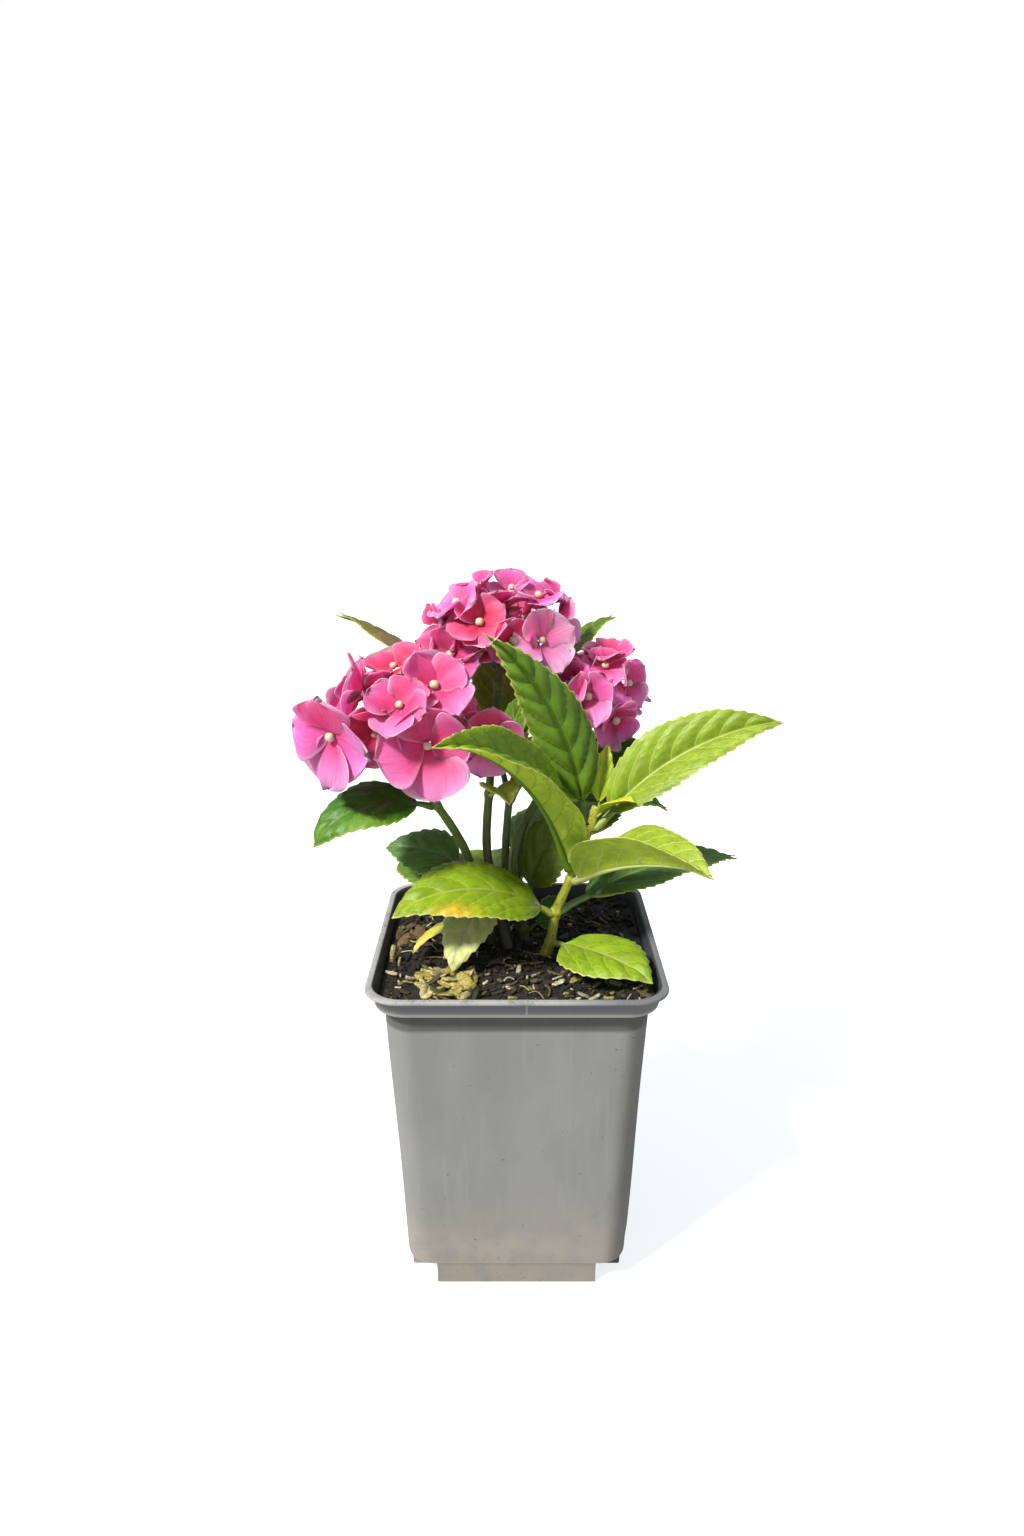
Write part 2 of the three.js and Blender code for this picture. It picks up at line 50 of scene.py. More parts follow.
POT_HEIGHT = 142.7
RIM_HALF = 60
LIP_DEPTH = 1.6
RIM_INNER_HALF = 57.1
BAND_TOP_HALF = 58
BAND_FOOT_HALF = 56.5
BAND_Z = POT_HEIGHT - 8.7
BODY_TOP_HALF = 52.9
BODY_FOOT_HALF = 46.9
FOOT_HALF = 45.8
FOOT_HEIGHT = 11
CORNER_RATIO = 0.23
WALL = 1.3
FLOOR = 2
NOTCH_FROM = 34
DRAIN_RADIUS = 3.4
DRAIN_AT = 39.6
WALL_SAG = 0.35

# The shader's own colours of the plastic, its wear and its dirt, and painted light among them:
# the band is partly painted shade, the lines at its foot and at the step of the foot are painted
# highlights, the pale lip is partly painted light and the inside partly painted shade.
POT_COLOURS = {
    "grey": (0.196, 0.198, 0.190), "pale_grey": (0.226, 0.226, 0.216), "run": (0.29, 0.29, 0.275),
    "dust": (0.295, 0.262, 0.220), "step": (0.36, 0.335, 0.30), "fleck": (0.06, 0.055, 0.05),
    "mud": (0.10, 0.07, 0.05), "band": (0.150, 0.145, 0.156), "band_foot_highlight": (0.30, 0.335, 0.29),
    "weld": (0.34, 0.34, 0.33), "lip": (0.105, 0.115, 0.128), "worn_lit_lip": (0.34, 0.335, 0.325),
    "stain_and_shade": (0.040, 0.043, 0.048),
}

SOIL_LEVEL = 137
SOIL_FOOT = FOOT_HEIGHT + WALL + 1.2
SOIL_HALF = BODY_TOP_HALF - WALL - 0.45
SOIL_TOP_HALF = BAND_FOOT_HALF - WALL - 0.2

# Each shoot: its radius at the foot and at the tip, and the points that it runs through.
SHOOTS = {
    "front": (2.5, 1.8, [(12.4, -7.7, SOIL_LEVEL), (14.5, -8.5, 144), (16.8, -8, 157),
                         (22.8, -10, 174), (30.7, -5, 194), (33.2, -4, 203)]),
    "left": (2.4, 1.9, [(-11, 4, SOIL_LEVEL), (-14, 3.5, 152), (-21.9, 0, 182),
                        (-33.7, -8, 206), (-43, -13, 221)]),
    "centre": (2.4, 1.9, [(-3.6, -2, SOIL_LEVEL), (-7, 1, 150), (-12.7, 5, 180),
                          (-11.3, 8, 211), (-8, 16, 247)]),
    "right": (2.4, 1.9, [(3.5, 5.5, SOIL_LEVEL), (1.5, 5.5, 155), (-0.5, 6, 178),
                         (6, 10.5, 196), (21, 18, 212), (36.6, 25, 226)]),
    "back": (2.3, 1.7, [(-5, 12.5, SOIL_LEVEL), (-5, 12.5, 160), (-4.5, 12.5, 185),
                        (-2, 15, 206), (3, 21, 219)]),
}
STEM_FLARE = 1.3
STEM_SLIMMER = 0.86              # than its solid
STEM_ROWS = 140
STEM_SIDES = 20
CURVE_STEPS = 400

# The bark of each shoot at its foot and the green of its upper part, in sRGB.
STEM_COLOURS = {
    "front": ((196, 200, 60), (222, 226, 78)),
    "left": ((84, 92, 48), (118, 150, 56)),
    "centre": ((78, 74, 44), (96, 122, 48)),
    "right": ((92, 96, 46), (104, 134, 52)),
    "back": ((84, 84, 46), (110, 140, 60)),
}

# ---- the leaves

# Each leaf: its stem, the height of its stalk, the direction of its tip as toward and
# rise, arch, roll, fold, length, width, stalk, and the look it takes from LEAF_LOOKS.
LEAVES = {
    "front_upright": ("front", 196.7, 178.6, 62.4, 44, 75, 12, 89, 28, 9, "deep"),
    "front_arched": ("front", 178, 226, 43, 56, 33, 45.5, 100, 42, 3.6, "arched"),
    "front_long": ("front", 194, 0, 31.5, 44, -46, 34, 88, 33, 9, "bright"),
    "front_right": ("front", 173, 316, 17.5, 35, 5, 50, 70, 45, 3, "olive"),
    "front_under": ("front", 158, 20, 9, 34, -8, 12, 86, 29, 12, "cool"),
    "front_low": ("front", 157, 201, 8, 66, 16, 10, 70, 40, 6, "fresh"),
    "front_ground": ("front", 143.5, 316, 1, 30, -4, 6, 52, 35, 6, "fresh"),
    "young_tall": ("front", 201.5, 60, 73, 20, -30, 24, 28, 10, 3, "young"),
    "young_short": ("front", 199.5, 314, 30, 40, 0, 20, 22, 12, 3, "young"),
    "left_out": ("left", 205, 204, -12, 76, 14, 8, 50, 33, 5, "dark"),
    "left_shaded": ("left", 172, 158, 7, 40, 30, 10, 40, 25, 5, "cool"),
    "left_low_back": ("left", 158, 130, -2, 40, 10, 10, 62, 32, 9, "shade"),
    "hanging": ("centre", 163, 243, -34, 44, 0, 12, 41, 23.5, 5, "pale"),
    "hanging_yellow": ("left", 149, 210, -13, 50, -20, 12, 34, 18, 5, "yellow"),
    "centre_left_tip": ("centre", 229, 156, 34, 24, -14, 10, 88, 30, 22, "tawny"),
    "centre_right_tip": ("centre", 234, 52, 32, 20, 12, 10, 81, 24, 26, "shade"),
    "centre_shaded": ("centre", 219, 336, 70, 24, -50, 12, 32, 20, 6, "shade"),
    "centre_cupped": ("centre", 205, 290, 8, 60, 0, 34, 24, 20, 4, "cupped"),
    "right_shaded": ("right", 212, 350, 20, 30, -30, 12, 34, 22, 5, "dark"),
    "right_tip": ("right", 200, 13, -3, 40, -10, 12, 57, 26, 8, "dark"),
    "right_back": ("right", 166, 66, 12, 44, 0, 12, 68, 36, 10, "shade"),
    "back_olive": ("right", 160, 340, 64, 30, -60, 12, 42, 29, 5, "dull"),
    "inner_low": ("right", 143, 350, 40, 30, -30, 12, 21, 18, 5, "dark"),
    "front_behind": ("front", 184, 84, 3, 30, 0, 14, 60, 34, 10, "shade"),
    "left_behind": ("left", 212, 112, 4, 40, 0, 12, 54, 30, 8, "dark"),
    "back_low": ("back", 152, 98, 3, 50, 0, 12, 72, 40, 10, "fresh"),
    "back_left": ("back", 203, 120, 42, 60, 0, 14, 62, 36, 10, "deep"),
    "back_tall": ("back", 215, 106, 42, 60, 0, 14, 66, 33, 10, "bright"),
    "back_right": ("back", 200, 62, 12, 50, 0, 14, 60, 32, 9, "fresh"),
}

# The upper side, the lower side, the veins and the margin of each look, in sRGB. The lower
# sides are laid on lighter, partly a painted glow of light passing through the leaf.
LEAF_LOOKS = {
    "bright": ((158, 186, 44), (176, 190, 76), (214, 226, 128), (222, 232, 136)),
    "fresh": ((150, 184, 24), (168, 180, 60), (206, 220, 96), (222, 230, 110)),
    # Its veins are painted dark, as shade in the valleys along them.
    "deep": ((118, 158, 30), (160, 186, 60), (66, 100, 18), (212, 226, 106)),
    "arched": ((128, 172, 22), (212, 244, 82), (132, 170, 32), (242, 240, 124)),
    "olive": ((166, 192, 42), (206, 230, 84), (236, 244, 164), (236, 242, 122)),
    # The looks shade, dark, cool, dull and tawny are darker copies for leaves that stand in shade: partly
    # their own colour, partly painted shade.
    "shade": ((98, 138, 24), (124, 146, 50), (160, 182, 90), (166, 186, 60)),
    "dark": ((60, 128, 22), (104, 134, 44), (120, 156, 60), (150, 188, 48)),
    # A painted bluish sheen of the sky over a shaded green.
    "cool": ((98, 142, 66), (118, 150, 70), (150, 182, 108), (156, 190, 84)),
    "dull": ((100, 124, 18), (122, 140, 34), (112, 130, 40), (146, 162, 50)),
    # Laid on lighter than its own pale green: partly painted light on a leaf that hangs in shade.
    "pale": ((232, 240, 150), (226, 234, 150), (252, 252, 215), (238, 242, 150)),
    "yellow": ((214, 220, 90), (222, 222, 110), (236, 232, 150), (240, 230, 120)),
    # Laid on lighter than its own green, partly painted light on leaves in shade.
    "young": ((206, 244, 48), (222, 252, 92), (228, 230, 110), (250, 232, 80)),
    "tawny": ((120, 128, 44), (142, 128, 78), (160, 156, 84), (180, 186, 90)),
    # Laid on lighter than its own green, partly painted light on a leaf in shade.
    "cupped": ((204, 226, 66), (230, 246, 120), (216, 222, 110), (248, 244, 180)),
}

# Places where a leaf has turned: along it, across it, how far they reach and colour. The two on
# front_upright are painted shade over one half of its blade.
LEAF_PATCHES = {
    "front_low": [(0.66, 0.93, 0.11, (244, 196, 20)), (0.93, 0.0, 0.08, (222, 226, 40))],
    "front_arched": [(0.97, 0.0, 0.07, (222, 210, 60))],
    "young_short": [(0.8, -0.3, 0.3, (250, 214, 40))],
    "young_tall": [(0.6, 0.9, 0.3, (240, 226, 60))],
    "hanging_yellow": [(0.85, 0.0, 0.35, (244, 226, 84))],
    "left_out": [(0.95, 0.0, 0.18, (130, 172, 44)), (0.6, 1.0, 0.22, (120, 165, 44))],
    "centre_left_tip": [(0.5, 0.4, 0.2, (176, 130, 96))],
    "front_right": [(0.97, 0.0, 0.1, (190, 200, 60))],
    # Painted shade over one half of the blade.
    "front_upright": [(0.45, -0.8, 0.3, (84, 122, 24)), (0.8, -0.6, 0.25, (96, 134, 26))],
}

# How high the blade swells between its side veins, in mm; 0.9 in the other looks.
QUILTING = {"deep": 2.1, "arched": 1.8, "fresh": 1.5, "bright": 1.4, "shade": 1.2, "dark": 1.2}

BRIGHT_LOOKS = {"bright", "fresh", "deep", "arched", "olive", "young", "pale", "yellow", "cupped"}

# Four leaves depart a little from their solids: one comes to a slimmer point, one turns
# out further behind the blooms, and the tips of two lie lower.
REFINED = {
    "front_upright": {"width": 25.5, "taper": 1.2},
    "centre_right_tip": {"toward": 43, "rise": 29, "length": 83},
    "back_low": {"rise": -5},
    "right_tip": {"rise": -8},
}

LEAF_SHOULDER = 0.64
LEAF_TAPER = 1.02
LEAF_CAMBER = 0.16
LEAF_THICKNESS = 0.5
LEAF_STEPS = 240                 # of the line that a leaf follows
TOOTH_PITCH = 4.3
TOOTH_DEPTH = 1.15
ROWS_PER_TOOTH = 5
VEIN_PITCH = 10.5                # between side veins, along the midrib
RIDGE = 0.22                     # how far a side vein stands out below
STALK_RADIUS = 1.25
STALK_SIDES = 10

# Shares across half a leaf, from one margin through the midrib to the other.
LEAF_COLUMNS = np.array([-1, -0.965, -0.9, -0.8, -0.68, -0.55, -0.42, -0.3, -0.19, -0.1, -0.04,
                         0, 0.04, 0.1, 0.19, 0.3, 0.42, 0.55, 0.68, 0.8, 0.9, 0.965, 1])

# ---- the blooms

# dome is the middle of the dome that the florets lie on and reach its half sizes. lead
# gives the florets set one by one as (x, y, z, toward, rise, radius, spin, colour); the
# rest fill the dome at least `spacing` apart, down to `lowest`, and leave its lower
# part bare between the two directions of `bare`, where a neighbour stands.
BLOOMS = {
    "top": {
        "stem": "centre", "dome": (-7, 28, 270), "reach": (25, 22, 18),
        "floret": 13, "spacing": 17, "lowest": -20, "bare": (270, 425),
        "lead": [
            (-24, 17, 284, 215, 45, 13, 10, "lilac"),
            (-33, 21, 274, 190, 8, 12.5, 30, "pink"),
            (-27, 11, 264, 248, 16, 16, 80, "pink"),
            (-15, 9, 277, 262, 46, 14, 30, "hot"),
            (-2, 6, 271, 285, 5, 11, 45, "hot"),
            (10, 9, 270, 283, 30, 15, 20, "pale"),
            (9, 23, 286, 285, 66, 12, 10, "lilac"),
            (-17, 29, 289, 200, 68, 11, 0, "pink"),
            (-2, 32, 288, 262, 66, 12, 20, "lilac"),
            (15, 31, 285, 10, 50, 11, 10, "pink"),
            (18, 25, 277, 350, 15, 12.5, 15, "lilac"),
            (17.5, 15, 258, 305, -12, 11, 40, "pink"),
        ],
    },
    "left": {
        "stem": "left", "dome": (-45, -13, 237), "reach": (32, 21, 24),
        "floret": 16, "spacing": 21, "lowest": -15, "bare": (350, 455),
        "lead": [
            (-70.5, -30, 240, 236, -4, 20.5, -12, "lilac"),
            (-60, -20, 255, 184, 22, 16, 45, "pink"),
            (-54, -28, 241, 258, -10, 15, 60, "hot"),
            (-44, -33, 252, 255, 44, 13.5, 80, "pink"),
            (-32, -22, 257, 276, 56, 16.5, 30, "pink"),
            (-34, -34.5, 237.5, 272, 8, 19.5, 100, "pink"),
            (-48, -10, 262, 200, 62, 14, 0, "hot"),
            (-12, -11, 234, 278, 0, 16, 80, "mauve"),
        ],
    },
    "right": {
        "stem": "right", "dome": (35, 23, 247), "reach": (16, 14, 15),
        "floret": 11.5, "spacing": 14.5, "lowest": -25, "bare": (95, 262),
        "lead": [
            (30, 8.5, 247, 260, 18, 14, 20, "lilac"),
            (25, 13, 253, 232, 12, 11.5, 40, "plum"),
            (41, 12, 237, 298, -20, 12, 50, "plum"),
            (37.5, 19, 257, 272, 58, 11.5, 10, "pink"),
            (46, 16, 251, 320, 18, 12, 30, "plum"),
            (40, 27, 261, 250, 74, 12, 0, "mauve"),
        ],
    },
}

# The heart, the blade and the margin of a petal in each colour, in sRGB.
PETAL_COLOURS = {
    "pale": ((250, 100, 160), (253, 160, 208), (255, 222, 242)),
    "lilac": ((246, 70, 140), (250, 112, 196), (255, 196, 236)),
    "pink": ((238, 44, 108), (248, 84, 156), (255, 180, 222)),
    "rose": ((238, 36, 86), (250, 66, 128), (255, 160, 204)),
    "hot": ((230, 20, 68), (250, 54, 108), (255, 160, 200)),
    "mauve": ((212, 40, 92), (240, 88, 144), (252, 172, 212)),
    "plum": ((206, 36, 100), (238, 92, 172), (252, 176, 222)),
}
FILL_COLOURS = ["pink", "rose", "lilac", "pink", "mauve"]

# A second, inner layer of florets shows between the outer ones; its deeper pinks are partly
# painted shade inside the dome.
SPIRAL_STEPS = 90
GOLDEN_ANGLE = 137.508
INNER_REACH = 0.74
INNER_SPACING = 0.62
INNER_COLOURS = ["hot", "rose", "mauve"]

PAINTED_BACKLIGHT = (246, 40, 84)    # painted backlight, light through the petals that stand up
PAINTED_SKY_SHEEN = (255, 176, 228)  # a painted sheen of the sky on those that hang
FLORET_CUP = 0.16
PETAL_GLOW = 1.42                # a painted glow: petals pass light on, so their colour is laid on brighter
PETAL_THICKNESS = 0.28
PETAL_HALF_WIDTH = 0.64
PETAL_ROWS = 16
PETAL_COLUMNS = np.array([-1, -0.94, -0.8, -0.6, -0.36, -0.12, 0.12, 0.36, 0.6, 0.8, 0.94, 1])
BEAD_RADIUS = 1.75
BEAD_COLOURS = ((226, 150, 150), (250, 240, 200))      # its foot and its top
PEDICEL_RADIUS = 0.55
PEDICEL_COLOURS = ((150, 170, 96), (214, 120, 150))    # its foot and its top
NECK_LENGTH = 5.8
NECK_COLOUR = (130, 156, 70)

# ---- what lies on the soil

SOIL_COLOUR = (20, 19, 15)
SOIL_RINGS = 66
SHOOT_CLEARANCE = 4.5
BARK_CHIPS = 330
CRUMBS = 1500
FIBRES = 70

CHIP_COLOURS = [(48, 42, 28), (34, 28, 20), (66, 56, 34), (26, 22, 16), (110, 98, 58),
                (222, 214, 168), (40, 34, 22)]
GOLDEN_COLOURS = [(206, 190, 100), (174, 158, 72), (134, 118, 52), (228, 216, 146)]
RUSTY_COLOURS = [(136, 110, 70), (104, 82, 50), (172, 148, 104)]
TAN_COLOURS = [(214, 204, 120), (176, 164, 78), (128, 118, 54), (236, 230, 176), (84, 76, 40)]
CRUMB_COLOUR = (40, 33, 25)
CRUMB_TONES = [0.6, 0.9, 1.6, 4.5, 14]
CRUMB_SHARES = [0.37, 0.33, 0.16, 0.1, 0.04]
FIBRE_COLOURS = [(236, 228, 190), (196, 178, 120), (120, 100, 60)]

# Heaps of bark: how many chips, from where to where in x and y, how long, and colours.
HEAPS = [
    (34, (-38, -18), (-50, -26), (8, 15), GOLDEN_COLOURS),
    (16, (-53, -41), (2, 17), (7, 12), RUSTY_COLOURS),
    (70, (-52, 52), (-53, -24), (2, 6), TAN_COLOURS),
]

# Sticks that stand at the left of the soil: x, y, height and radius.
STICKS = [(-52.5, -16, 8.5, 1.3), (-50, -13.5, 6, 0.8), (-49.5, -19, 4.5, 0.7)]
STICK_COLOUR = (206, 190, 124)

# ---- the camera

FRAME_HEIGHT = 1536
FOCAL_LENGTH = 1044.1            # in pixels of that frame
CAMERA_AT = (-1.94, -417.7, 339.36)
CAMERA_PITCH = 16.13

# ---- the light and the floor

FLOOR_HALF = 12000               # in mm, as everything is
PAPER = (0.42, 0.42, 0.42)
PAPER_GLOW = (0.76, 0.775, 0.79)
SKY = (0.90, 0.95, 1.0)
SUN_FROM = (-0.62, -0.52, 0.86)
SUN_WIDTH = 9
SUN_STRENGTH = 6.0
SUN_COLOUR = (1.0, 0.97, 0.92)
SKY_STRENGTH = 0.56
SUNLIT = 0.56                    # how much less a surface reflects than it shows in the sun


def linear(colour):
    """The shader's colour for a surface that looks like this sRGB colour in full sun."""
    c = np.asarray(colour, float) / 255
    return SUNLIT * np.where(c <= 0.04045, c / 12.92, ((c + 0.055) / 1.055) ** 2.4)


def unit(v):
    return v / np.linalg.norm(v)


def smooth(x, low, high):
    t = np.clip((x - low) / (high - low), 0, 1)
    return t * t * (3 - 2 * t)


def blend(a, b, share):
    return a + (b - a) * np.asarray(share)[..., None]


# ---- meshes

ROOM_MARGIN = 0.6                # between the rooms on the flat map


class Skin:
    """Grids of points joined into one mesh, each with its own room on a flat map."""

    def __init__(self):
        self.points, self.faces, self.rooms = [], [], []
        self.values = {}
        self.count = 0

    def add(self, grid, slot=0, **values):
        """Closes rows of points into rings, the rings into a skin, and its ends with fans."""
        grid = np.asarray(grid, float)
        rows, columns = grid.shape[:2]
        across = np.linalg.norm(np.diff(grid, axis=1, append=grid[:, :1]), axis=2).mean(0)
        along = np.linalg.norm(np.diff(grid, axis=0), axis=2).mean(1)
        u = np.concatenate([[0], np.cumsum(along)])
        v = np.concatenate([[0], np.cumsum(across)])
        inward = self.volume(grid) < 0
        middle = self.count + rows * columns
        self.keep(self.fan(self.count, columns, middle, u[0], v), inward, slot)
        last = self.count + (rows - 1) * columns
        self.keep(self.fan(last, columns, middle + 1, u[-1], v), not inward, slot)
        self.keep(self.wall(self.count, rows, columns, u, v), inward, slot)
        self.rooms.append((u[-1], v[-1]))
        self.points += [grid.reshape(-1, 3), grid[0].mean(0)[None], grid[-1].mean(0)[None]]
        self.count = middle + 2
        for name, value in values.items():
            self.values.setdefault(name, []).append(self.at_points(value, rows, columns))

    def keep(self, faces_and_map, turned, slot):
        """Stores faces, turned over where they would look inwards."""
        faces, flat = faces_and_map
        if turned:
            faces, flat = faces[:, ::-1], flat[:, ::-1]
        self.faces.append((faces, flat, len(self.rooms), slot))

    @staticmethod
    def fan(ring, columns, middle, at, v):
        """Triangles from a ring of points to its middle, and their corners on the map."""
        a = np.arange(columns)
        faces = np.stack([ring + a, ring + (a + 1) % columns, np.full(columns, middle)], -1)
        level = np.full(columns, at)
        corners = (v[a], v[a + 1], (v[a] + v[a + 1]) / 2)
        return faces, np.stack([np.stack([level, corner], -1) for corner in corners], 1)

    @staticmethod
    def wall(base, rows, columns, u, v):
        """Quads from ring to ring, and their corners on the map."""
        i, j = np.meshgrid(np.arange(rows - 1), np.arange(columns), indexing="ij")
        corners = ((i, j), (i + 1, j), (i + 1, j + 1), (i, j + 1))
        faces = base + np.stack([a * columns + b % columns for a, b in corners], -1)
        flat = np.stack([np.stack([u[a], v[b]], -1) for a, b in corners], 2)
        return faces.reshape(-1, 4), flat.reshape(-1, 4, 2)

    @staticmethod
    def at_points(value, rows, columns):
        """The value at each point of a grid and at the middles of its two ends."""
        value = np.asarray(value, float)
        wide = (3,) if value.shape and value.shape[-1] == 3 and value.ndim in (1, 3) else ()
        full = np.broadcast_to(value, (rows, columns) + wide)
        ends = [full[row].mean(0)[None] for row in (0, -1)]
        return np.concatenate([full.reshape((-1,) + wide)] + ends)

    @staticmethod
    def volume(grid):
        """Six times the volume inside the rings, less than 0 where they turn inside out."""
        a, b = grid[:-1], grid[1:]
        c, d = np.roll(b, -1, 1), np.roll(a, -1, 1)
        middle = grid.reshape(-1, 3).mean(0)
        return (np.cross(c - a, d - b) * ((a + b + c + d) / 4 - middle)).sum()

    def packed(self):
        """The corner of each room on the map, packed in shelves, and the map's side."""
        sizes = [(a + ROOM_MARGIN, b + ROOM_MARGIN) for a, b in self.rooms]
        side = math.sqrt(sum(a * b for a, b in sizes)) * 1.05
        side = max(side, *(max(size) for size in sizes))
        while True:
            corners = [None] * len(sizes)
            x = y = shelf = 0
            for n in sorted(range(len(sizes)), key=lambda n: -sizes[n][1]):
                if x + sizes[n][0] > side:
                    x, y, shelf = 0, y + shelf, 0
                corners[n] = (x + ROOM_MARGIN / 2, y + ROOM_MARGIN / 2)
                x += sizes[n][0]
                shelf = max(shelf, sizes[n][1])
            if y + shelf <= side:
                return corners, side
            side *= 1.03

    def piece(self, name, materials, nodes=(), slot=None):
        """Makes the mesh, hangs it on the root body and lets it stand for its CAD nodes."""
        faces, maps, rooms, slots = zip(*self.faces)
        counts = [len(part) for part in faces]
        loops = np.concatenate([part.ravel() for part in faces])
        sizes = np.repeat([part.shape[1] for part in faces], counts)
        mesh = bpy.data.meshes.new(name)
        mesh.vertices.add(self.count)
        fill(mesh.vertices, "co", np.concatenate(self.points) * MM)
        mesh.loops.add(len(loops))
        fill(mesh.loops, "vertex_index", loops, np.int32)
        mesh.polygons.add(len(sizes))
        fill(mesh.polygons, "loop_start", np.cumsum(sizes) - sizes, np.int32)
        fill(mesh.polygons, "material_index", np.repeat(slots, counts), np.int32)
        corners, side = self.packed()
        flat = [(part.reshape(-1, 2) + np.array(corners[room])) / side for part, room in zip(maps, rooms)]
        fill(mesh.uv_layers.new(name="OFBake").data, "uv", np.concatenate(flat))
        for key, parts in self.values.items():
            layer(mesh, key, np.concatenate(parts))
        for material in materials:
            mesh.materials.append(material)
        mesh.update(calc_edges=True)
        mesh.validate()
        mesh.shade_smooth()
        dress(linked(name, mesh), nodes)


def fill(items, key, values, kind=np.float32):
    """Sets one property of all the items of a Blender list."""
    items.foreach_set(key, values.astype(kind).ravel())


def layer(mesh, key, values):
    """Stores a number, a place or a colour for each point of a mesh."""
    kind, field = "FLOAT", "value"
    if key == "place":
        kind, field = "FLOAT_VECTOR", "vector"
    elif values.ndim == 2:
        kind, field = "FLOAT_COLOR", "color"
        values = np.column_stack([values, np.ones(len(values))])
    fill(mesh.attributes.new(key, kind, "POINT").data, field, values)


def linked(name, data):
    """A new object in the scene, with this mesh, light or camera."""
    item = bpy.data.objects.new(name, data)
    bpy.context.scene.collection.objects.link(item)
    return item


def bare(name, points, faces):
    """A plain mesh object from points in millimetres and their faces."""
    mesh = bpy.data.meshes.new(name)
    mesh.from_pydata([tuple(c * MM for c in p) for p in points], [], faces)
    mesh.validate()
    return linked(name, mesh)


def dress(piece, nodes):
    """Hangs a piece on the root body, in place of its CAD nodes."""
    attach(piece, "root")
    if nodes:
        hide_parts(*nodes)


def round_turn(sides):
    """The directions to the points of a ring, from 0 all the way round."""
    return np.arange(sides) * 2 * math.pi / sides


def rings(path, radius, sides):
    """Rings of `sides` points round a path, with a radius for each of its points."""
    path = np.asarray(path, float)
    tangent = np.gradient(path, axis=0)
    tangent /= np.linalg.norm(tangent, axis=1)[:, None]
    upright = abs(tangent[0][2]) >= 0.9
    side = unit(np.cross(tangent[0], [0, 1, 0] if upright else [0.3, 0.1, 1]))
    turn = round_turn(sides)[:, None]
    out = []
    for at, along, r in zip(path, tangent, np.broadcast_to(radius, len(path))):
        side = unit(side - along * side.dot(along))
        out.append(at + r * (np.cos(turn) * side + np.sin(turn) * np.cross(along, side)))
    return np.array(out)


def along_line(line, steps, at):
    """Points of a line, whose own points lie at `steps`, at other steps."""
    return np.stack([np.interp(at, steps, line[:, k]) for k in range(3)], -1)


def grid_place(*parts):
    """The three parts of a place, spread over one grid."""
    return np.stack(np.broadcast_arrays(*parts), -1)


# ---- shoots

def curve(points):
    """A centripetal Catmull-Rom curve through the points, at even steps of its length."""
    p = np.array(points, float)
    p = np.vstack([2 * p[0] - p[1], p, 2 * p[-1] - p[-2]])
    x = np.linspace(0, 1, 60)[:, None]
    line = []
    for a, b, c, d in zip(p, p[1:], p[2:], p[3:]):
        s, t, w = (np.linalg.norm(q - r) ** 0.5 for q, r in ((b, a), (c, b), (d, c)))
        m = ((b - a) / s - (c - a) / (s + t) + (c - b) / t) * t
        n = ((c - b) / t - (d - b) / (t + w) + (d - c) / w) * t
        cubic, square = 2 * b - 2 * c + m + n, -3 * b + 3 * c - 2 * m - n
        line.append(cubic * x ** 3 + square * x ** 2 + m * x + b)
    line = np.vstack(line)
    steps = np.linalg.norm(np.diff(line, axis=0), axis=1)
    length = np.concatenate([[0], np.cumsum(steps)])
    return along_line(line, length, np.linspace(0, length[-1], CURVE_STEPS))


CURVES = {name: curve(line) for name, (foot, tip, line) in SHOOTS.items()}
CURVE_SHARES = np.linspace(0, 1, CURVE_STEPS)


def shoot_radius(name, t):
    """The radius of a shoot's solid at a share of its length, flared at the foot."""
    foot, tip, line = SHOOTS[name]
    return (foot + (tip - foot) * t) * (1 + (STEM_FLARE - 1) * np.maximum(0, 1 - t / 0.08))


def shoot_at(name, height):
    """The middle and the radius of a shoot at a height."""
    line = CURVES[name]
    t = np.interp(height, line[:, 2], CURVE_SHARES)
    return along_line(line, CURVE_SHARES, t), shoot_radius(name, t)


def stems():
    """The shoots, a little ribbed, knuckled where leaves leave them, green toward the top."""
    skin = Skin()
    t = np.linspace(0, 1, STEM_ROWS)
    turn = round_turn(STEM_SIDES)
    for name, line in CURVES.items():
        path = along_line(line, CURVE_SHARES, t)
        radius = STEM_SLIMMER * shoot_radius(name, t)
        for leaf in LEAVES.values():
            if leaf[0] == name:
                radius = radius * (1 + 0.22 * np.exp(-((path[:, 2] - leaf[1]) / 1.5) ** 2))
        grid = rings(path, radius, STEM_SIDES)
        ribs = 1 + 0.035 * np.cos(5 * turn + 2)[None, :] + 0.02 * np.sin(path[:, 2] / 1.7)[:, None]
        grid = path[:, None] + (grid - path[:, None]) * ribs[..., None]
        bark, green = (linear(c) for c in STEM_COLOURS[name])
        tint = np.repeat(blend(bark, green, smooth(t, 0.1, 0.75))[:, None], STEM_SIDES, 1)
        place = grid_place((turn * 2.4)[None, :], path[:, 2][:, None], 0.0)
        skin.add(grid, tint=tint, place=place)
    skin.piece("shoots", [stem_material()], [f"stem_{n}" for n in SHOOTS], "stem_green")


# ---- leaves

UPWARD = np.array([0, 0, 1.0])


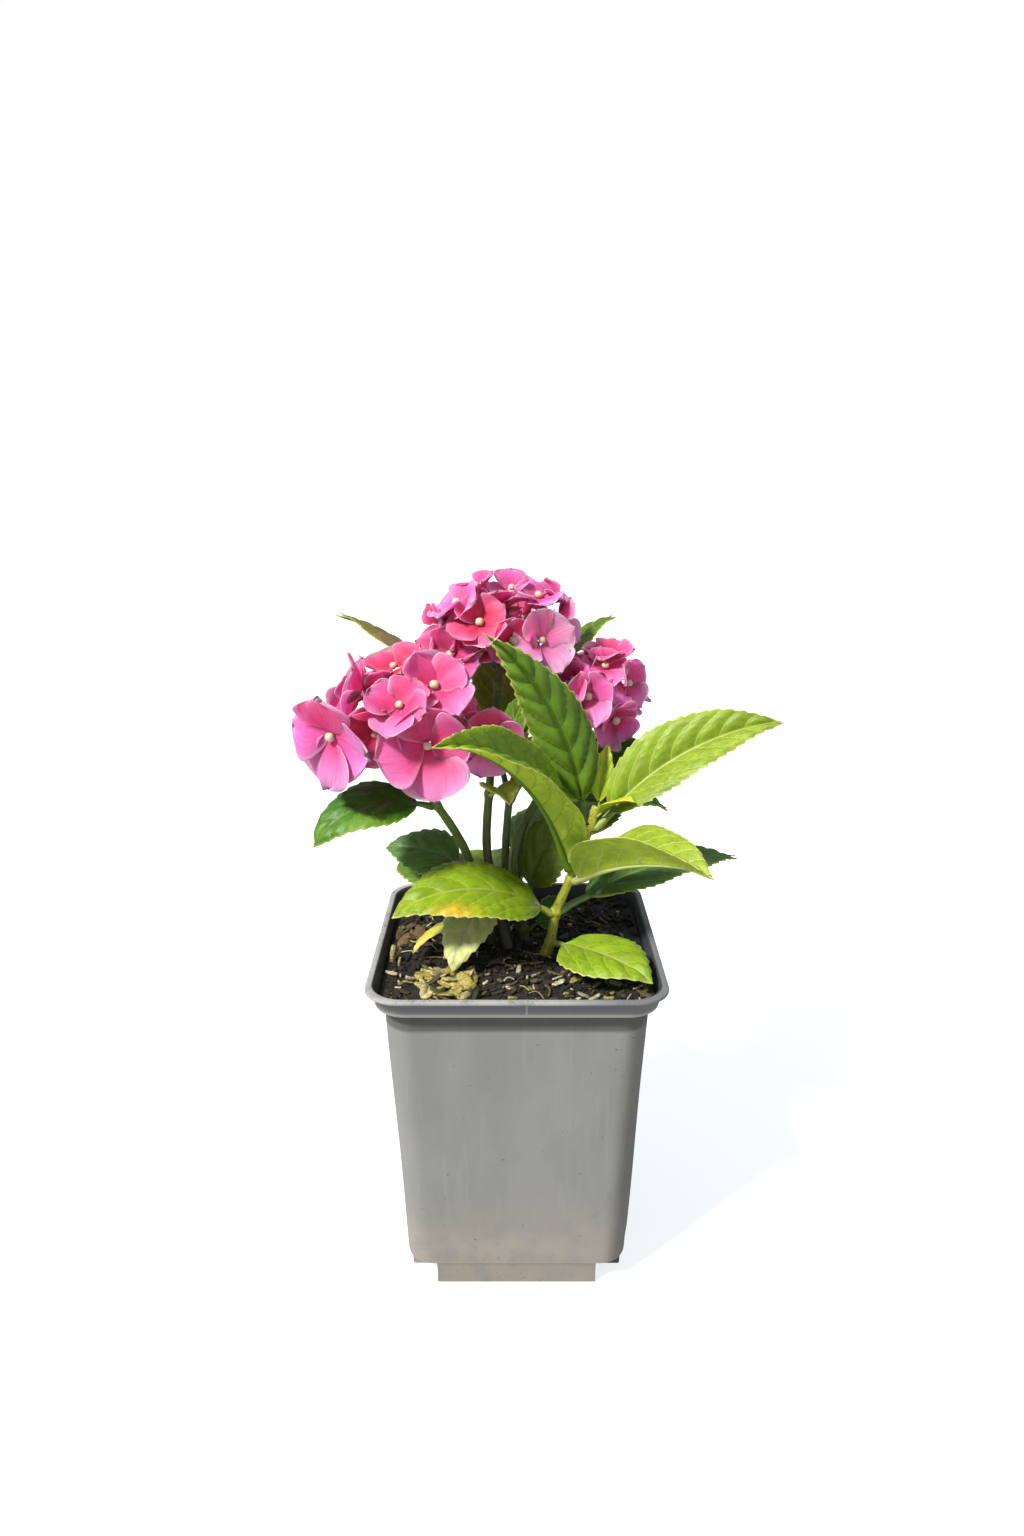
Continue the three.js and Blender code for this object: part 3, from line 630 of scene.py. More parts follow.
class Leaf:
    """One leaf: its line, its blade with teeth, veins and quilting, and its stalk."""

    def __init__(self, name):
        self.name = name
        (self.stem, self.height, self.toward, self.rise, self.arch, self.roll, self.fold,
         self.length, self.width, self.stalk, self.look) = LEAVES[name]
        self.taper = LEAF_TAPER
        self.make_line()
        centre, radius = shoot_at(self.stem, self.height)
        self.start = centre + self.ahead * radius
        self.start = self.start + self.ahead * self.seat()
        for measure, value in REFINED.get(name, {}).items():
            setattr(self, measure, value)
        self.make_line()
        self.blade_length = self.length - self.stalk
        self.size = min(1, self.width / 26)

    def make_line(self):
        """The line runs straight for the stalk and then bends down by the arch."""
        turn = self.toward * RAD
        self.ahead = np.array([math.cos(turn), math.sin(turn), 0])
        self.level = np.array([-math.sin(turn), math.cos(turn), 0])
        self.bare = self.stalk / self.length
        s = (np.arange(LEAF_STEPS) + 0.5) / LEAF_STEPS
        fall = self.arch * np.maximum(0, (s - self.bare) / (1 - self.bare))
        sag = np.array([np.cos(-fall * RAD).sum(), np.sin(-fall * RAD).sum()])
        lead = self.rise - math.atan2(sag[1], sag[0]) / RAD
        up = (lead - fall) * RAD
        step = self.length / np.linalg.norm(sag)
        along = np.cos(up)[:, None] * self.ahead + np.sin(up)[:, None] * UPWARD
        self.steps = np.linspace(0, 1, LEAF_STEPS + 1)
        self.line = np.vstack([np.zeros(3), np.cumsum(along * step, 0)])
        self.up = np.interp(self.steps, s, up)

    def at(self, s):
        """The place, the side and the upward normal of the leaf at shares s of its length."""
        point = along_line(self.line, self.steps, s) + self.start
        up = np.interp(s, self.steps, self.up)[..., None]
        along = np.cos(up) * self.ahead + np.sin(up) * UPWARD
        over = np.cross(along, self.level)
        roll = self.roll * RAD
        side = self.level * math.cos(roll) - over * math.sin(roll)
        return point, side, over * math.cos(roll) + self.level * math.sin(roll)

    def seat(self):
        """How far out the solid of this leaf stands from its stem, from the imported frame."""
        low, high = (np.array(corner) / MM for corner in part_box(f"leaf_{self.name}"))
        u = np.linspace(0, 1, 60)
        blade = self.surface(u[:, None], np.array([-1.0, 0, 1.0])[None, :]).reshape(-1, 3)
        stalk = self.at(np.linspace(0, self.bare, 12))[0]
        outline = np.concatenate([blade, stalk])
        middle = (outline.min(0) + outline.max(0)) / 2
        return ((low + high) / 2 - middle).dot(self.ahead)

    def half_width(self, u):
        """Half the blade's width, broadest below its middle and never quite nothing."""
        peak = LEAF_SHOULDER ** LEAF_SHOULDER * self.taper ** self.taper
        peak /= (LEAF_SHOULDER + self.taper) ** (LEAF_SHOULDER + self.taper)
        blade = self.width / 2 * u ** LEAF_SHOULDER * (1 - u) ** self.taper / peak
        return np.maximum(blade, 1.0 + (0.2 - 1.0) * u)

    def surface(self, u, v, lift=0.0, wide=1.0):
        """The blade's middle surface at shares u along it and v across it."""
        u, v = np.broadcast_arrays(u, v)
        half = self.half_width(u)
        s = self.bare + (1 - self.bare) * u
        point, side, normal = self.at(s)
        fold = self.fold * RAD
        across = half * v * wide * math.cos(fold)
        rise = half * (np.abs(v) * math.sin(fold) - LEAF_CAMBER * v * v) + lift
        return point + across[..., None] * side + rise[..., None] * normal

    def teeth(self, u, count, random):
        """How far the margin stands out: each tooth widens slowly and falls back at once."""
        phase = (u * count) % 1
        tooth = np.where(phase < 0.85, phase / 0.85, (1 - phase) / 0.15) - 0.35
        depth = TOOTH_DEPTH * self.size * smooth(u, 0.04, 0.22) * smooth(1 - u, 0.0, 0.10)
        uneven = np.repeat(random.random(count + 1), ROWS_PER_TOOTH)[:len(u)]
        return depth * (0.8 + 0.4 * uneven) * tooth

    def veins(self, u, v, pairs):
        """Counts up along the blade from side vein to side vein; these curve to the tip."""
        rake = 1.5 * self.half_width(u) / self.blade_length
        wobble = 0.10 * np.sin(2.3 * u * pairs + self.length) * np.abs(v)
        return (u - rake * (0.4 * np.abs(v) + 0.6 * v * v)) * pairs + wobble + 20

    def relief(self, u, v, pairs, vein):
        """The height of quilting, waves and midrib, and the ridges of the veins below."""
        between = np.abs((vein % 1) - 0.5) * 2
        inside = smooth(np.abs(v), 0.02, 0.22) * (1 - smooth(np.abs(v), 0.82, 1.0))
        body = smooth(u, 0.0, 0.08) * (1 - smooth(u, 0.9, 1.0))
        quilt = QUILTING.get(self.look, 0.9) * self.size * (1 - between ** 2.2) * inside * body
        wave = 0.5 * self.size * np.sin(u * pairs * 2.4 + 1.3 * np.sign(v)) * np.abs(v) ** 3
        groove = 0.35 * np.exp(-(self.half_width(u) * v / 0.9) ** 2)
        tip_curl = -0.06 * self.length * smooth(u, 0.72, 1.0) ** 2 * 0.35
        ridge = RIDGE * (1 - smooth(1 - between, 0.0, 0.22)) * inside * body
        return quilt + wave * body - groove * body + tip_curl, ridge

    def blade(self, skin):
        """The blade's upper and lower side, joined along the margin, and the midrib."""
        random = np.random.default_rng(sum(map(ord, self.name)))
        count = max(5, round(self.blade_length / TOOTH_PITCH))
        u = np.linspace(0, 1, count * ROWS_PER_TOOTH + 1)
        teeth = self.teeth(u, count, random)[:, None]
        u, v = u[:, None], LEAF_COLUMNS[None, :]
        half = self.half_width(u)
        wide = 1 + teeth * np.abs(v) ** 7 / np.maximum(half, 2)
        pairs = max(4, self.blade_length / VEIN_PITCH)
        vein = self.veins(u, v, pairs)
        lift, ridge = self.relief(u, v, pairs, vein)
        thick = LEAF_THICKNESS * (1 - 0.6 * np.abs(v) ** 4) + 0.9 * (1 - smooth(u, 0, 0.05))
        top = self.surface(u, v, lift + thick / 2, wide)
        bottom = self.surface(u, v, lift - thick / 2 - ridge, wide)
        across = half * v
        values = {
            "vein": np.broadcast_to(vein, across.shape),
            "spacing": np.full(across.shape, self.blade_length / pairs),
            "rib": np.abs(across),
            "edge": half * (1 - np.abs(v)) + 0 * u,
        }
        values = {key: both_sides(value) for key, value in values.items()}
        mirrored = np.concatenate([across, across[:, ::-1] + 90], 1)
        place = grid_place(u * self.blade_length + self.length * 3, mirrored, self.height)
        tint, veins, margin = self.tints(u, v, random)
        skin.add(both_sides(top, bottom), tint=tint, veins=veins, margin=margin, place=place, **values)
        self.rib(skin, veins[0, 0])

    def tints(self, u, v, random):
        """The colours of both sides, ring by ring, with the patches that have turned and those of
        painted shade.
        """
        upper, lower, vein, margin = (linear(c) for c in LEAF_LOOKS[self.look])
        shape = np.broadcast(u, v).shape
        shade = np.sin(u * 5 + random.random() * 6) * np.cos(v * 2 + random.random() * 6)
        shade = (1 + 0.10 * shade)[..., None]
        top, bottom = (np.broadcast_to(colour, shape + (3,)) * shade for colour in (upper, lower))
        for along, across, reach, colour in LEAF_PATCHES.get(self.name, []):
            near = np.exp(-((u - along) / reach) ** 2 - ((v - across) / (2.6 * reach)) ** 2)
            top, bottom = (blend(side, linear(colour), near) for side in (top, bottom))
        both = both_sides(top, bottom)
        return both, np.broadcast_to(vein, both.shape), np.broadcast_to(margin, both.shape)

    def rib(self, skin, veins):
        """The stalk, sunk in its stem, which runs on under the blade as its midrib."""
        thick = STALK_RADIUS * math.sqrt(self.length / 60) * min(1, self.width / 22)
        s = np.concatenate([[0.0], np.linspace(0.0, 0.985, 46)])
        point, side, normal = self.at(s)
        point[0] = point[1] - self.ahead * 2.2 - np.array([0, 0, 0.8])
        u = np.clip((s - self.bare) / (1 - self.bare), 0, 1)
        swollen = 1.0 + 0.35 * np.exp(-s * self.length / 2.0)
        radius = thick * np.where(s < self.bare, swollen, 1 - 0.86 * u ** 0.6)
        sunk = 0.8 * radius * smooth(s, self.bare * 0.4, self.bare * 1.3 + 0.02)
        turn = round_turn(STALK_SIDES)[None, :]
        out = np.cos(turn)[..., None] * side[:, None] - np.sin(turn)[..., None] * normal[:, None]
        grid = (point - sunk[:, None] * normal)[:, None] + radius[:, None, None] * out
        upper = linear(LEAF_LOOKS[self.look][0])
        tint = np.broadcast_to(blend(veins, upper, 0.35), grid.shape)
        place = grid_place(s[:, None] * self.length, turn * thick, 0.0)
        skin.add(grid[::-1], slot=1, tint=tint, veins=tint, margin=tint, place=place,
                 vein=0.5, spacing=9.0, rib=9.0, edge=9.0)


def both_sides(upper, lower=None):
    """Joins the rows of the upper side to those of the lower side, read backwards."""
    lower = upper if lower is None else lower
    return np.concatenate([upper, lower[:, ::-1]], 1)


def leaves():
    """All the leaves, those that show bright apart from those that show dark."""
    materials = [leaf_material(), stalk_material()]
    for piece, bright in (("leaves_sunlit", True), ("leaves_shaded", False)):
        skin = Skin()
        names = [n for n in LEAVES if (LEAVES[n][-1] in BRIGHT_LOOKS) == bright]
        for name in names:
            Leaf(name).blade(skin)
        slot = "leaf_bright" if bright else "leaf_dark"
        skin.piece(piece, materials, [f"leaf_{n}" for n in names], slot)


# ---- blooms

def facing_frame(toward, rise):
    """The frame of something that faces a direction: level to its right, then up it."""
    turn, up = toward * RAD, rise * RAD
    facing = np.array([math.cos(up) * math.cos(turn), math.cos(up) * math.sin(turn), math.sin(up)])
    right = np.array([-math.sin(turn), math.cos(turn), 0])
    return facing, right, np.cross(facing, right)


def petal(skin, at, axes, radius, angle, colours, tilt, random):
    """One broad sepal, cupped and folded, its margin waved, one side over its neighbour."""
    facing, right, top = axes
    out = right * math.cos(angle * RAD) + top * math.sin(angle * RAD)
    side = top * math.cos(angle * RAD) - right * math.sin(angle * RAD)
    t = (1 - (1 - np.linspace(0, 1, PETAL_ROWS)) ** 1.6)[:, None]
    w = PETAL_COLUMNS[None, :]
    phase, other = random.uniform(0, 6.28, 2)
    fold, droop, hollow = random.random(3)
    half = PETAL_HALF_WIDTH * radius * (0.03 + t ** 0.8 * (1 - t) ** 0.5 / 0.42 * 0.97)
    half = half * (1 + 0.07 * np.sin(5.2 * t + phase + 2.4 * np.sign(w)) + 0.03 * np.sin(11 * t + other))
    point = 0.07 * np.exp(-(w / 0.3) ** 2) * smooth(t, 0.6, 1)
    reach = radius * (0.07 + 0.9 * t + point) - 0.12 * half * w * w * (t < 1)
    lift = petal_lift(t, w, half, radius, phase, other, fold, droop, hollow)
    lean = tilt * RAD
    forward = reach * math.cos(lean) - lift * math.sin(lean)
    raised = reach * math.sin(lean) + lift * math.cos(lean)
    middle = at + forward[..., None] * out + (half * w)[..., None] * side + raised[..., None] * facing
    thick = PETAL_THICKNESS / 2 * (1 - 0.5 * np.abs(w) ** 3) + 0 * t
    grid = both_sides(middle + thick[..., None] * facing, middle - thick[..., None] * facing)
    spread = smooth(t + 0.25 * (random.random() - 0.5), 0.1, 0.8)
    colour = petal_tint(t, w, spread, colours) * random.uniform(0.86, 1.1)
    place = grid_place(w * 9, t * radius, phase * 10)
    skin.add(grid, tint=both_sides(colour, 0.9 * colour), edge=both_sides(half * (1 - np.abs(w)) + 0 * t),
             place=both_sides(place, place + np.array([40, 0, 0])))


def petal_lift(t, w, half, radius, phase, other, fold, droop, hollow):
    """How far a sepal rises: cup, curl, twist, valley, ruffled margin, dimples and tip."""
    cup = FLORET_CUP * (0.4 + 1.3 * hollow) * t ** 1.3
    valley = 0.22 * fold * (np.sqrt(w * w + 0.02) - 0.14) * smooth(t, 0, 0.4)
    curl = (0.20 - 0.12 * droop) * w * w * t
    tip = -0.22 * droop * t ** 4
    twist = 0.20 * w * np.minimum(1, 2.2 * t)
    ruffle = 0.05 * np.sin(6.5 * w + phase) * t ** 2 + 0.04 * np.sin(10 * t + other) * w ** 2 * t
    dimple = 0.018 * np.sin(9 * w + 5 * t + phase) * np.sin(7 * t + other)
    return radius * (cup + ruffle + tip + dimple * t) + half * (curl + twist + valley)


def petal_tint(t, w, spread, colours):
    """From the heart's colour to the blade's and, along the brim, to the margin's."""
    heart, blade, margin = colours
    brim = np.maximum(np.abs(w) ** 4, t ** 6)
    return blend(blend(heart + 0 * (t * w)[..., None], blade, spread), margin, 0.6 * brim ** 1.4)


def petal_colours(name, standing):
    """Heart, blade and margin; a petal that stands (1) is hotter with painted backlight, one that
    hangs (-1) paler with a painted sheen of the sky.
    """
    heart, blade, margin = (linear(c) for c in PETAL_COLOURS[name])
    glow, sheen = 0.6 * max(0, standing), 0.4 * max(0, -standing)
    blade = blend(blend(blade, linear(PAINTED_BACKLIGHT), glow), linear(PAINTED_SKY_SHEEN), sheen)
    return [PETAL_GLOW * c for c in (heart, blade, margin)]


def bead(skin, at, axes, random):
    """The closed bud in the middle of a floret, with four seams."""
    facing, right, top = axes
    up = np.linspace(-1, 1, 9)[:, None]
    turn = round_turn(16)[None, :]
    seams = 1 - 0.10 * np.abs(np.cos(2 * turn)) ** 6 * (1 - up ** 2)
    r = BEAD_RADIUS * seams * (0.85 + 0.3 * random.random())
    ring = np.sqrt(np.maximum(0.004, 1 - up ** 2)) * r
    centre = at + facing * BEAD_RADIUS * 1.1
    grid = (centre + (ring * np.cos(turn))[..., None] * right + (ring * np.sin(turn))[..., None] * top
            + (0.9 * r * up)[..., None] * facing)
    foot, crown = (linear(c) for c in BEAD_COLOURS)
    tint = blend(foot, crown, smooth(up + 0 * turn, -0.8, -0.1))
    skin.add(grid, tint=tint, edge=9.0, place=grid)


def pedicel(skin, start, end, along):
    """A slim stalk that leaves the hub with its shoot and bows out to a floret."""
    t = np.linspace(0, 1, 12)[:, None]
    reach = np.linalg.norm(end - start)
    knee = start + along * 0.45 * reach
    path = (1 - t) ** 2 * start + 2 * t * (1 - t) * knee + t ** 2 * end
    grid = rings(path, PEDICEL_RADIUS * (1.3 - 0.4 * t[:, 0]), 7)
    green, pink = (linear(c) for c in PEDICEL_COLOURS)
    tint = np.broadcast_to(blend(green, pink, t[:, 0] ** 2)[:, None], grid.shape)
    skin.add(grid, tint=tint, edge=9.0, place=np.broadcast_to(path[:, None], grid.shape))


def floret_places(shape, hub):
    """The florets set one by one, then an even spread over the rest of the dome."""
    random = np.random.default_rng(7)
    places = [(np.array(f[:3], float),) + tuple(f[3:]) for f in shape["lead"]]
    spread(places, shape, hub, 1.0, 1.0, FILL_COLOURS, random)
    spread(places, shape, hub, INNER_REACH, INNER_SPACING, INNER_COLOURS, random)
    return places


def spread(places, shape, hub, reach, spacing, colours, random):
    """Adds florets along a spiral down the dome, wherever none stands within the spacing."""
    low = math.sin(shape["lowest"] * RAD)
    bare_from, bare_to = shape["bare"]
    for i in range(SPIRAL_STEPS):
        height = 1 - (1 - low) * (i + 0.5) / SPIRAL_STEPS
        out = math.sqrt(1 - height * height)
        turn = i * GOLDEN_ANGLE * RAD
        way = np.array([out * math.cos(turn), out * math.sin(turn), height])
        at = way * reach * np.array(shape["reach"], float) + np.array(shape["dome"], float)
        bearing = (i * GOLDEN_ANGLE - bare_from + 720) % 360
        if height < 0.75 and bearing < bare_to - bare_from:
            continue
        if any(np.linalg.norm(other[0] - at) < spacing * shape["spacing"] for other in places):
            continue
        away = at - hub
        toward = math.atan2(away[1], away[0]) / RAD
        rise = math.atan2(away[2], math.hypot(away[0], away[1])) / RAD - 12
        radius = shape["floret"] * (0.95 + 0.05 * math.cos(i))
        places.append((at, toward, rise, radius, i * 40, colours[int(random.integers(len(colours)))]))


def neck(skin, stem, along, hub):
    """The thick top of a shoot, from which the stalks of its florets part."""
    tip = CURVES[stem][-1]
    t = np.linspace(0, 1, 8)[:, None]
    path = tip - along + t * (hub - tip + along)
    grid = rings(path, SHOOTS[stem][1] * (1 + 0.35 * t[:, 0] ** 2), 12)
    skin.add(grid, tint=np.broadcast_to(linear(NECK_COLOUR), grid.shape), edge=9.0, place=grid)


def bloom(name):
    """A dome of florets, their stalks parting from the neck of one shoot."""
    shape = BLOOMS[name]
    line = CURVES[shape["stem"]]
    along = unit(line[-1] - line[-4])
    hub = line[-1] + along * NECK_LENGTH
    petals, stalks, beads = Skin(), Skin(), Skin()
    neck(stalks, shape["stem"], along, hub)
    random = np.random.default_rng(len(name) * 11)
    for at, toward, rise, radius, spin, colour in floret_places(shape, hub):
        axes = facing_frame(toward, rise)
        for k in range(4):
            angle = spin + 90 * k + random.uniform(-7, 7)
            standing = math.sin(angle * RAD) * math.cos(rise * RAD)
            tilt = random.uniform(-6, 18) + 5 * (k % 2) + 12 * max(0, standing)
            size = radius * random.uniform(0.9, 1.06) * (1 - 0.1 * standing)
            seat = at + axes[0] * 0.25 * (k % 2)
            petal(petals, seat, axes, size, angle, petal_colours(colour, standing), tilt, random)
        bead(beads, at, axes, random)
        pedicel(stalks, hub - along * 1.5, at - axes[0] * 0.2, along)
    petals.piece(f"petals_{name}", [petal_material()], [f"bloom_{name}"], "petal_pink")
    beads.piece(f"beads_{name}", [bead_material()], [], "petal_pink")
    stalks.piece(f"pedicels_{name}", [stem_material()], [], "stem_green")


# ---- soil

def square_ring(half, spans=9, straight=10):
    """Points round a square with rounded corners, its corner arcs and sides divided."""
    out = []
    for corner in range(4):
        arc = corner_arc(half, corner, spans)
        following = corner_arc(half, corner + 1, spans)[0]
        out += arc
        out += [arc[-1] + (following - arc[-1]) * i / straight for i in range(1, straight)]
    return np.array(out)


def corner_arc(half, corner, spans):
    """The points of one rounded corner; the fourth is the first again."""
    radius = CORNER_RATIO * half
    middle = (corner * 90 + 45) * RAD
    centre = np.array([math.cos(middle), math.sin(middle)]) * (half - radius) * math.sqrt(2)
    turns = [(corner * 90 + 90 * i / spans) * RAD for i in range(spans + 1)]
    return [centre + radius * np.array([math.cos(turn), math.sin(turn)]) for turn in turns]


def at_height(ring, z):
    """A flat ring lifted to a height, or to one height for each of its points."""
    return np.column_stack([ring, np.broadcast_to(z, len(ring))])


def soil_height(x, y):
    """The height of the soil's surface, lumpy and calmer along the wall."""
    wave = np.sin(x / 7.1 + 1) * np.cos(y / 6.3) + 0.6 * np.sin((x - y) / 4.7 + 2)
    fine = np.sin(x / 1.9 + 0.7 * np.sin(y / 1.3)) * np.sin(y / 2.1 + 0.6 * np.sin(x / 1.5 + 1))
    grit = np.sin(x * 2.1 + 2 * np.sin(y * 1.1)) * np.sin(y * 2.3 + 2 * np.sin(x * 0.9))
    wall = 1 - smooth(SOIL_TOP_HALF - np.maximum(np.abs(x), np.abs(y)), 0, 5)
    return SOIL_LEVEL + (0.7 * wave + 0.45 * fine + 0.25 * grit) * (1 - 0.8 * wall) + 0.4 * wall


def soil():
    """The bed of mix, from its foot in the pot up to its lumpy top, ring by ring inwards."""
    foot = body_half(FOOT_HEIGHT + 3) - WALL - 0.6
    sides = [(0.02 * foot, SOIL_FOOT), (foot, SOIL_FOOT), (SOIL_HALF, BAND_Z - 1),
             (SOIL_HALF, BAND_Z + 0.9), (SOIL_TOP_HALF, BAND_Z + 2.2)]
    rows = [at_height(square_ring(half), z) for half, z in sides]
    for share in np.linspace(1, 0.02, SOIL_RINGS):
        ring = square_ring(SOIL_TOP_HALF * share)
        rows.append(at_height(ring, soil_height(ring[:, 0], ring[:, 1])))
    grid = np.array(rows)
    skin = Skin()
    skin.add(grid, tint=linear(SOIL_COLOUR), place=grid)
    skin.piece("soil_bed", [soil_material()], ["potting_soil"], "soil")


def spot(reach, random):
    """A place on the soil, clear of the shoots."""
    while True:
        x, y = random.uniform(-reach, reach, 2)
        feet = (line[0] for foot, tip, line in SHOOTS.values())
        if all(math.hypot(x - foot[0], y - foot[1]) > SHOOT_CLEARANCE for foot in feet):
            return x, y


def chips():
    """Bark, peat crumbs and pale fibres that lie on the soil, thicker along its front and left."""
    random = np.random.default_rng(21)
    bark, crumbs, fibres = Skin(), Skin(), Skin()
    for n in range(BARK_CHIPS):
        flake(bark, *spot(52, random), random.uniform(2.2, 6), random, CHIP_COLOURS)
    for count, across, along, sizes, colours in HEAPS:
        for n in range(count):
            x, y = random.uniform(*across), random.uniform(*along)
            flake(bark, x, y, random.uniform(*sizes), random, colours)
    for x, y, tall, thick in STICKS:
        foot, knee = (x, y, SOIL_LEVEL - 1), (x + 0.3, y, SOIL_LEVEL + 0.6 * tall)
        path = np.array([foot, knee, (x + 0.8, y - 0.4, SOIL_LEVEL + tall)])
        stick = rings(path, thick * np.array([1, 0.95, 0.7]), 7)
        bark.add(stick, tint=linear(STICK_COLOUR), place=stick)
    for n in range(CRUMBS):
        crumb(crumbs, *spot(SOIL_TOP_HALF - 1.5, random), random.uniform(0.5, 1.5), random)
    for n in range(FIBRES):
        fibre(fibres, *spot(46, random), random.uniform(4, 14), random)
    bark.piece("bark_chips", [bark_material()], [], "soil")
    crumbs.piece("peat_crumbs", [soil_material()], [], "soil")
    fibres.piece("pale_fibres", [bark_material()], [], "soil")


def flake(skin, x, y, length, random, colours):
    """A ragged, curled chip of bark."""
    width = length * random.uniform(0.25, 0.6)
    thick = random.uniform(0.5, 1.3)
    turn = random.uniform(0, 2 * math.pi)
    tilt = random.uniform(-0.35, 0.5)
    along = np.array([math.cos(turn) * math.cos(tilt), math.sin(turn) * math.cos(tilt), math.sin(tilt)])
    side = unit(np.cross([0, 0, 1], along) + np.array([0, 0, random.uniform(-0.5, 0.5)]))
    over = unit(np.cross(along, side))
    centre = np.array([x, y, float(soil_height(x, y)) + 0.5 * thick + 0.25 * length * abs(math.sin(tilt))])
    s = np.linspace(-0.5, 0.5, 9)
    curl = random.uniform(-0.5, 0.9)
    rows = []
    for a in s:
        wide = width / 2 * (1 - (2 * a) ** 4 * 0.6) * random.uniform(0.75, 1.1)
        w = np.array([-1, -0.75, 0, 0.75, 1, 0.75, 0, -0.75]) * wide
        h = np.array([0, 0.5, 0.6, 0.5, 0, -0.5, -0.4, -0.5]) * thick + random.uniform(-0.12, 0.12, 8)
        h = h + curl * (w / max(width, 1)) ** 2 * width + 0.35 * curl * a * a * length
        rows.append(centre + a * length * along + w[:, None] * side + h[:, None] * over)
    grid = np.array(rows)
    if np.abs(grid[..., :2]).max() > SOIL_TOP_HALF:
        return
    tint = linear(colours[int(random.integers(len(colours)))]) * random.uniform(0.7, 1.25)
    skin.add(grid, tint=tint, place=grid + random.uniform(0, 50, 3))


def crumb(skin, x, y, size, random):
    """A rounded crumb of peat; a few are much paler than the rest."""
    up = np.linspace(-1, 1, 4)[:, None]
    turn = round_turn(6)[None, :]
    r = size * random.uniform(0.7, 1.2, (4, 6))
    ring = np.sqrt(np.maximum(0.08, 1 - up ** 2)) * r
    wide, deep = random.uniform(0.6, 1.5, 2)
    centre = np.array([x, y, float(soil_height(x, y)) + size * 0.25])
    grid = centre + np.stack([ring * np.cos(turn) * wide, ring * np.sin(turn) * deep, 0.75 * r * up], -1)
    skin.add(grid, tint=linear(CRUMB_COLOUR) * random.choice(CRUMB_TONES, p=CRUMB_SHARES), place=grid)


def fibre(skin, x, y, length, random):
    """A thin fibre that wanders over the soil with a hump in it."""
    turn = random.uniform(0, 2 * math.pi)
    bend = random.uniform(-1.5, 1.5)
    t = np.linspace(0, 1, 12)
    angle = turn + bend * t
    px = x + np.cumsum(np.cos(angle)) * length / 12
    py = y + np.cumsum(np.sin(angle)) * length / 12
    if np.abs(np.stack([px, py])).max() > SOIL_TOP_HALF - 2:
        return
    pz = soil_height(px, py) + 0.7 + random.uniform(0, 2.0) * np.sin(math.pi * t)
    path = np.stack([px, py, np.convolve(np.pad(pz, 2, "edge"), np.ones(5) / 5, "valid")], -1)
    tint = linear(FIBRE_COLOURS[int(random.integers(3))])
    skin.add(rings(path, random.uniform(0.18, 0.5), 6), tint=tint, place=rings(path, 0.5, 6))


# ---- pot

CORNERS = [(1, 1), (-1, 1), (-1, -1), (1, -1)]


def body_half(z):
    """Half the width of the tapered body at a height."""
    share = (z - FOOT_HEIGHT) / (BAND_Z - FOOT_HEIGHT)
    return BODY_FOOT_HALF + (BODY_TOP_HALF - BODY_FOOT_HALF) * share


def loose(name, rows):
    """A closed solid through rings of points, as a loose object for cutting."""
    skin = Skin()
    skin.add(np.array(rows))
    faces = [face.tolist() for part, flat, room, number in skin.faces for face in part]
    return bare(name, np.concatenate(skin.points).tolist(), faces)


def loft(name, profile, sag=0.0):
    """A loose solid through rounded squares, the walls of its body sagging a little."""
    rows = []
    for half, z in profile:
        ring = square_ring(half, 10, 12)
        if 20 < z < BAND_Z - 2:
            wave = sag * np.cos(ring[:, 0] / 23 + z / 41) * np.cos(ring[:, 1] / 19 - z / 33)
            ring = ring * (1 + wave / 50)[:, None]
        rows.append(at_height(ring, z))
    return loose(name, rows)


def block(x0, x1, y0, y1, z0, z1):
    """A loose box for cutting."""
    points = [(x, y, z) for x in (x0, x1) for y in (y0, y1) for z in (z0, z1)]
    faces = [(0, 1, 3, 2), (4, 6, 7, 5), (0, 4, 5, 1), (2, 3, 7, 6), (0, 2, 6, 4), (1, 5, 7, 3)]
    return bare("block", points, faces)


def drain(sx, sy):
    """A plug the shape of a drain hole, through the floor above a cut-away corner."""
    turn = round_turn(24)
    x, y = sx * DRAIN_AT + DRAIN_RADIUS * np.cos(turn), sy * DRAIN_AT + DRAIN_RADIUS * np.sin(turn)
    ring = np.column_stack([x, y])
    return loose("drain", [at_height(ring, z) for z in (FOOT_HEIGHT - 2, FOOT_HEIGHT + 4)])


def cut(target, tool):
    """Cuts the tool out of the target and drops the tool."""
    step = target.modifiers.new("cut", "BOOLEAN")
    step.operation = "DIFFERENCE"
    step.solver = "MANIFOLD"
    step.object = tool
    graph = bpy.context.evaluated_depsgraph_get()
    mesh = bpy.data.meshes.new_from_object(target.evaluated_get(graph))
    target.modifiers.clear()
    target.data = mesh
    bpy.data.objects.remove(tool)


def cut_corners(target, start, top):
    """Cuts the corners of the foot away, from `start` outwards and up to `top`."""
    for sx, sy in CORNERS:
        xs, ys = sorted((sx * start, sx * 90)), sorted((sy * start, sy * 90))
        cut(target, block(*xs, *ys, -1, top))


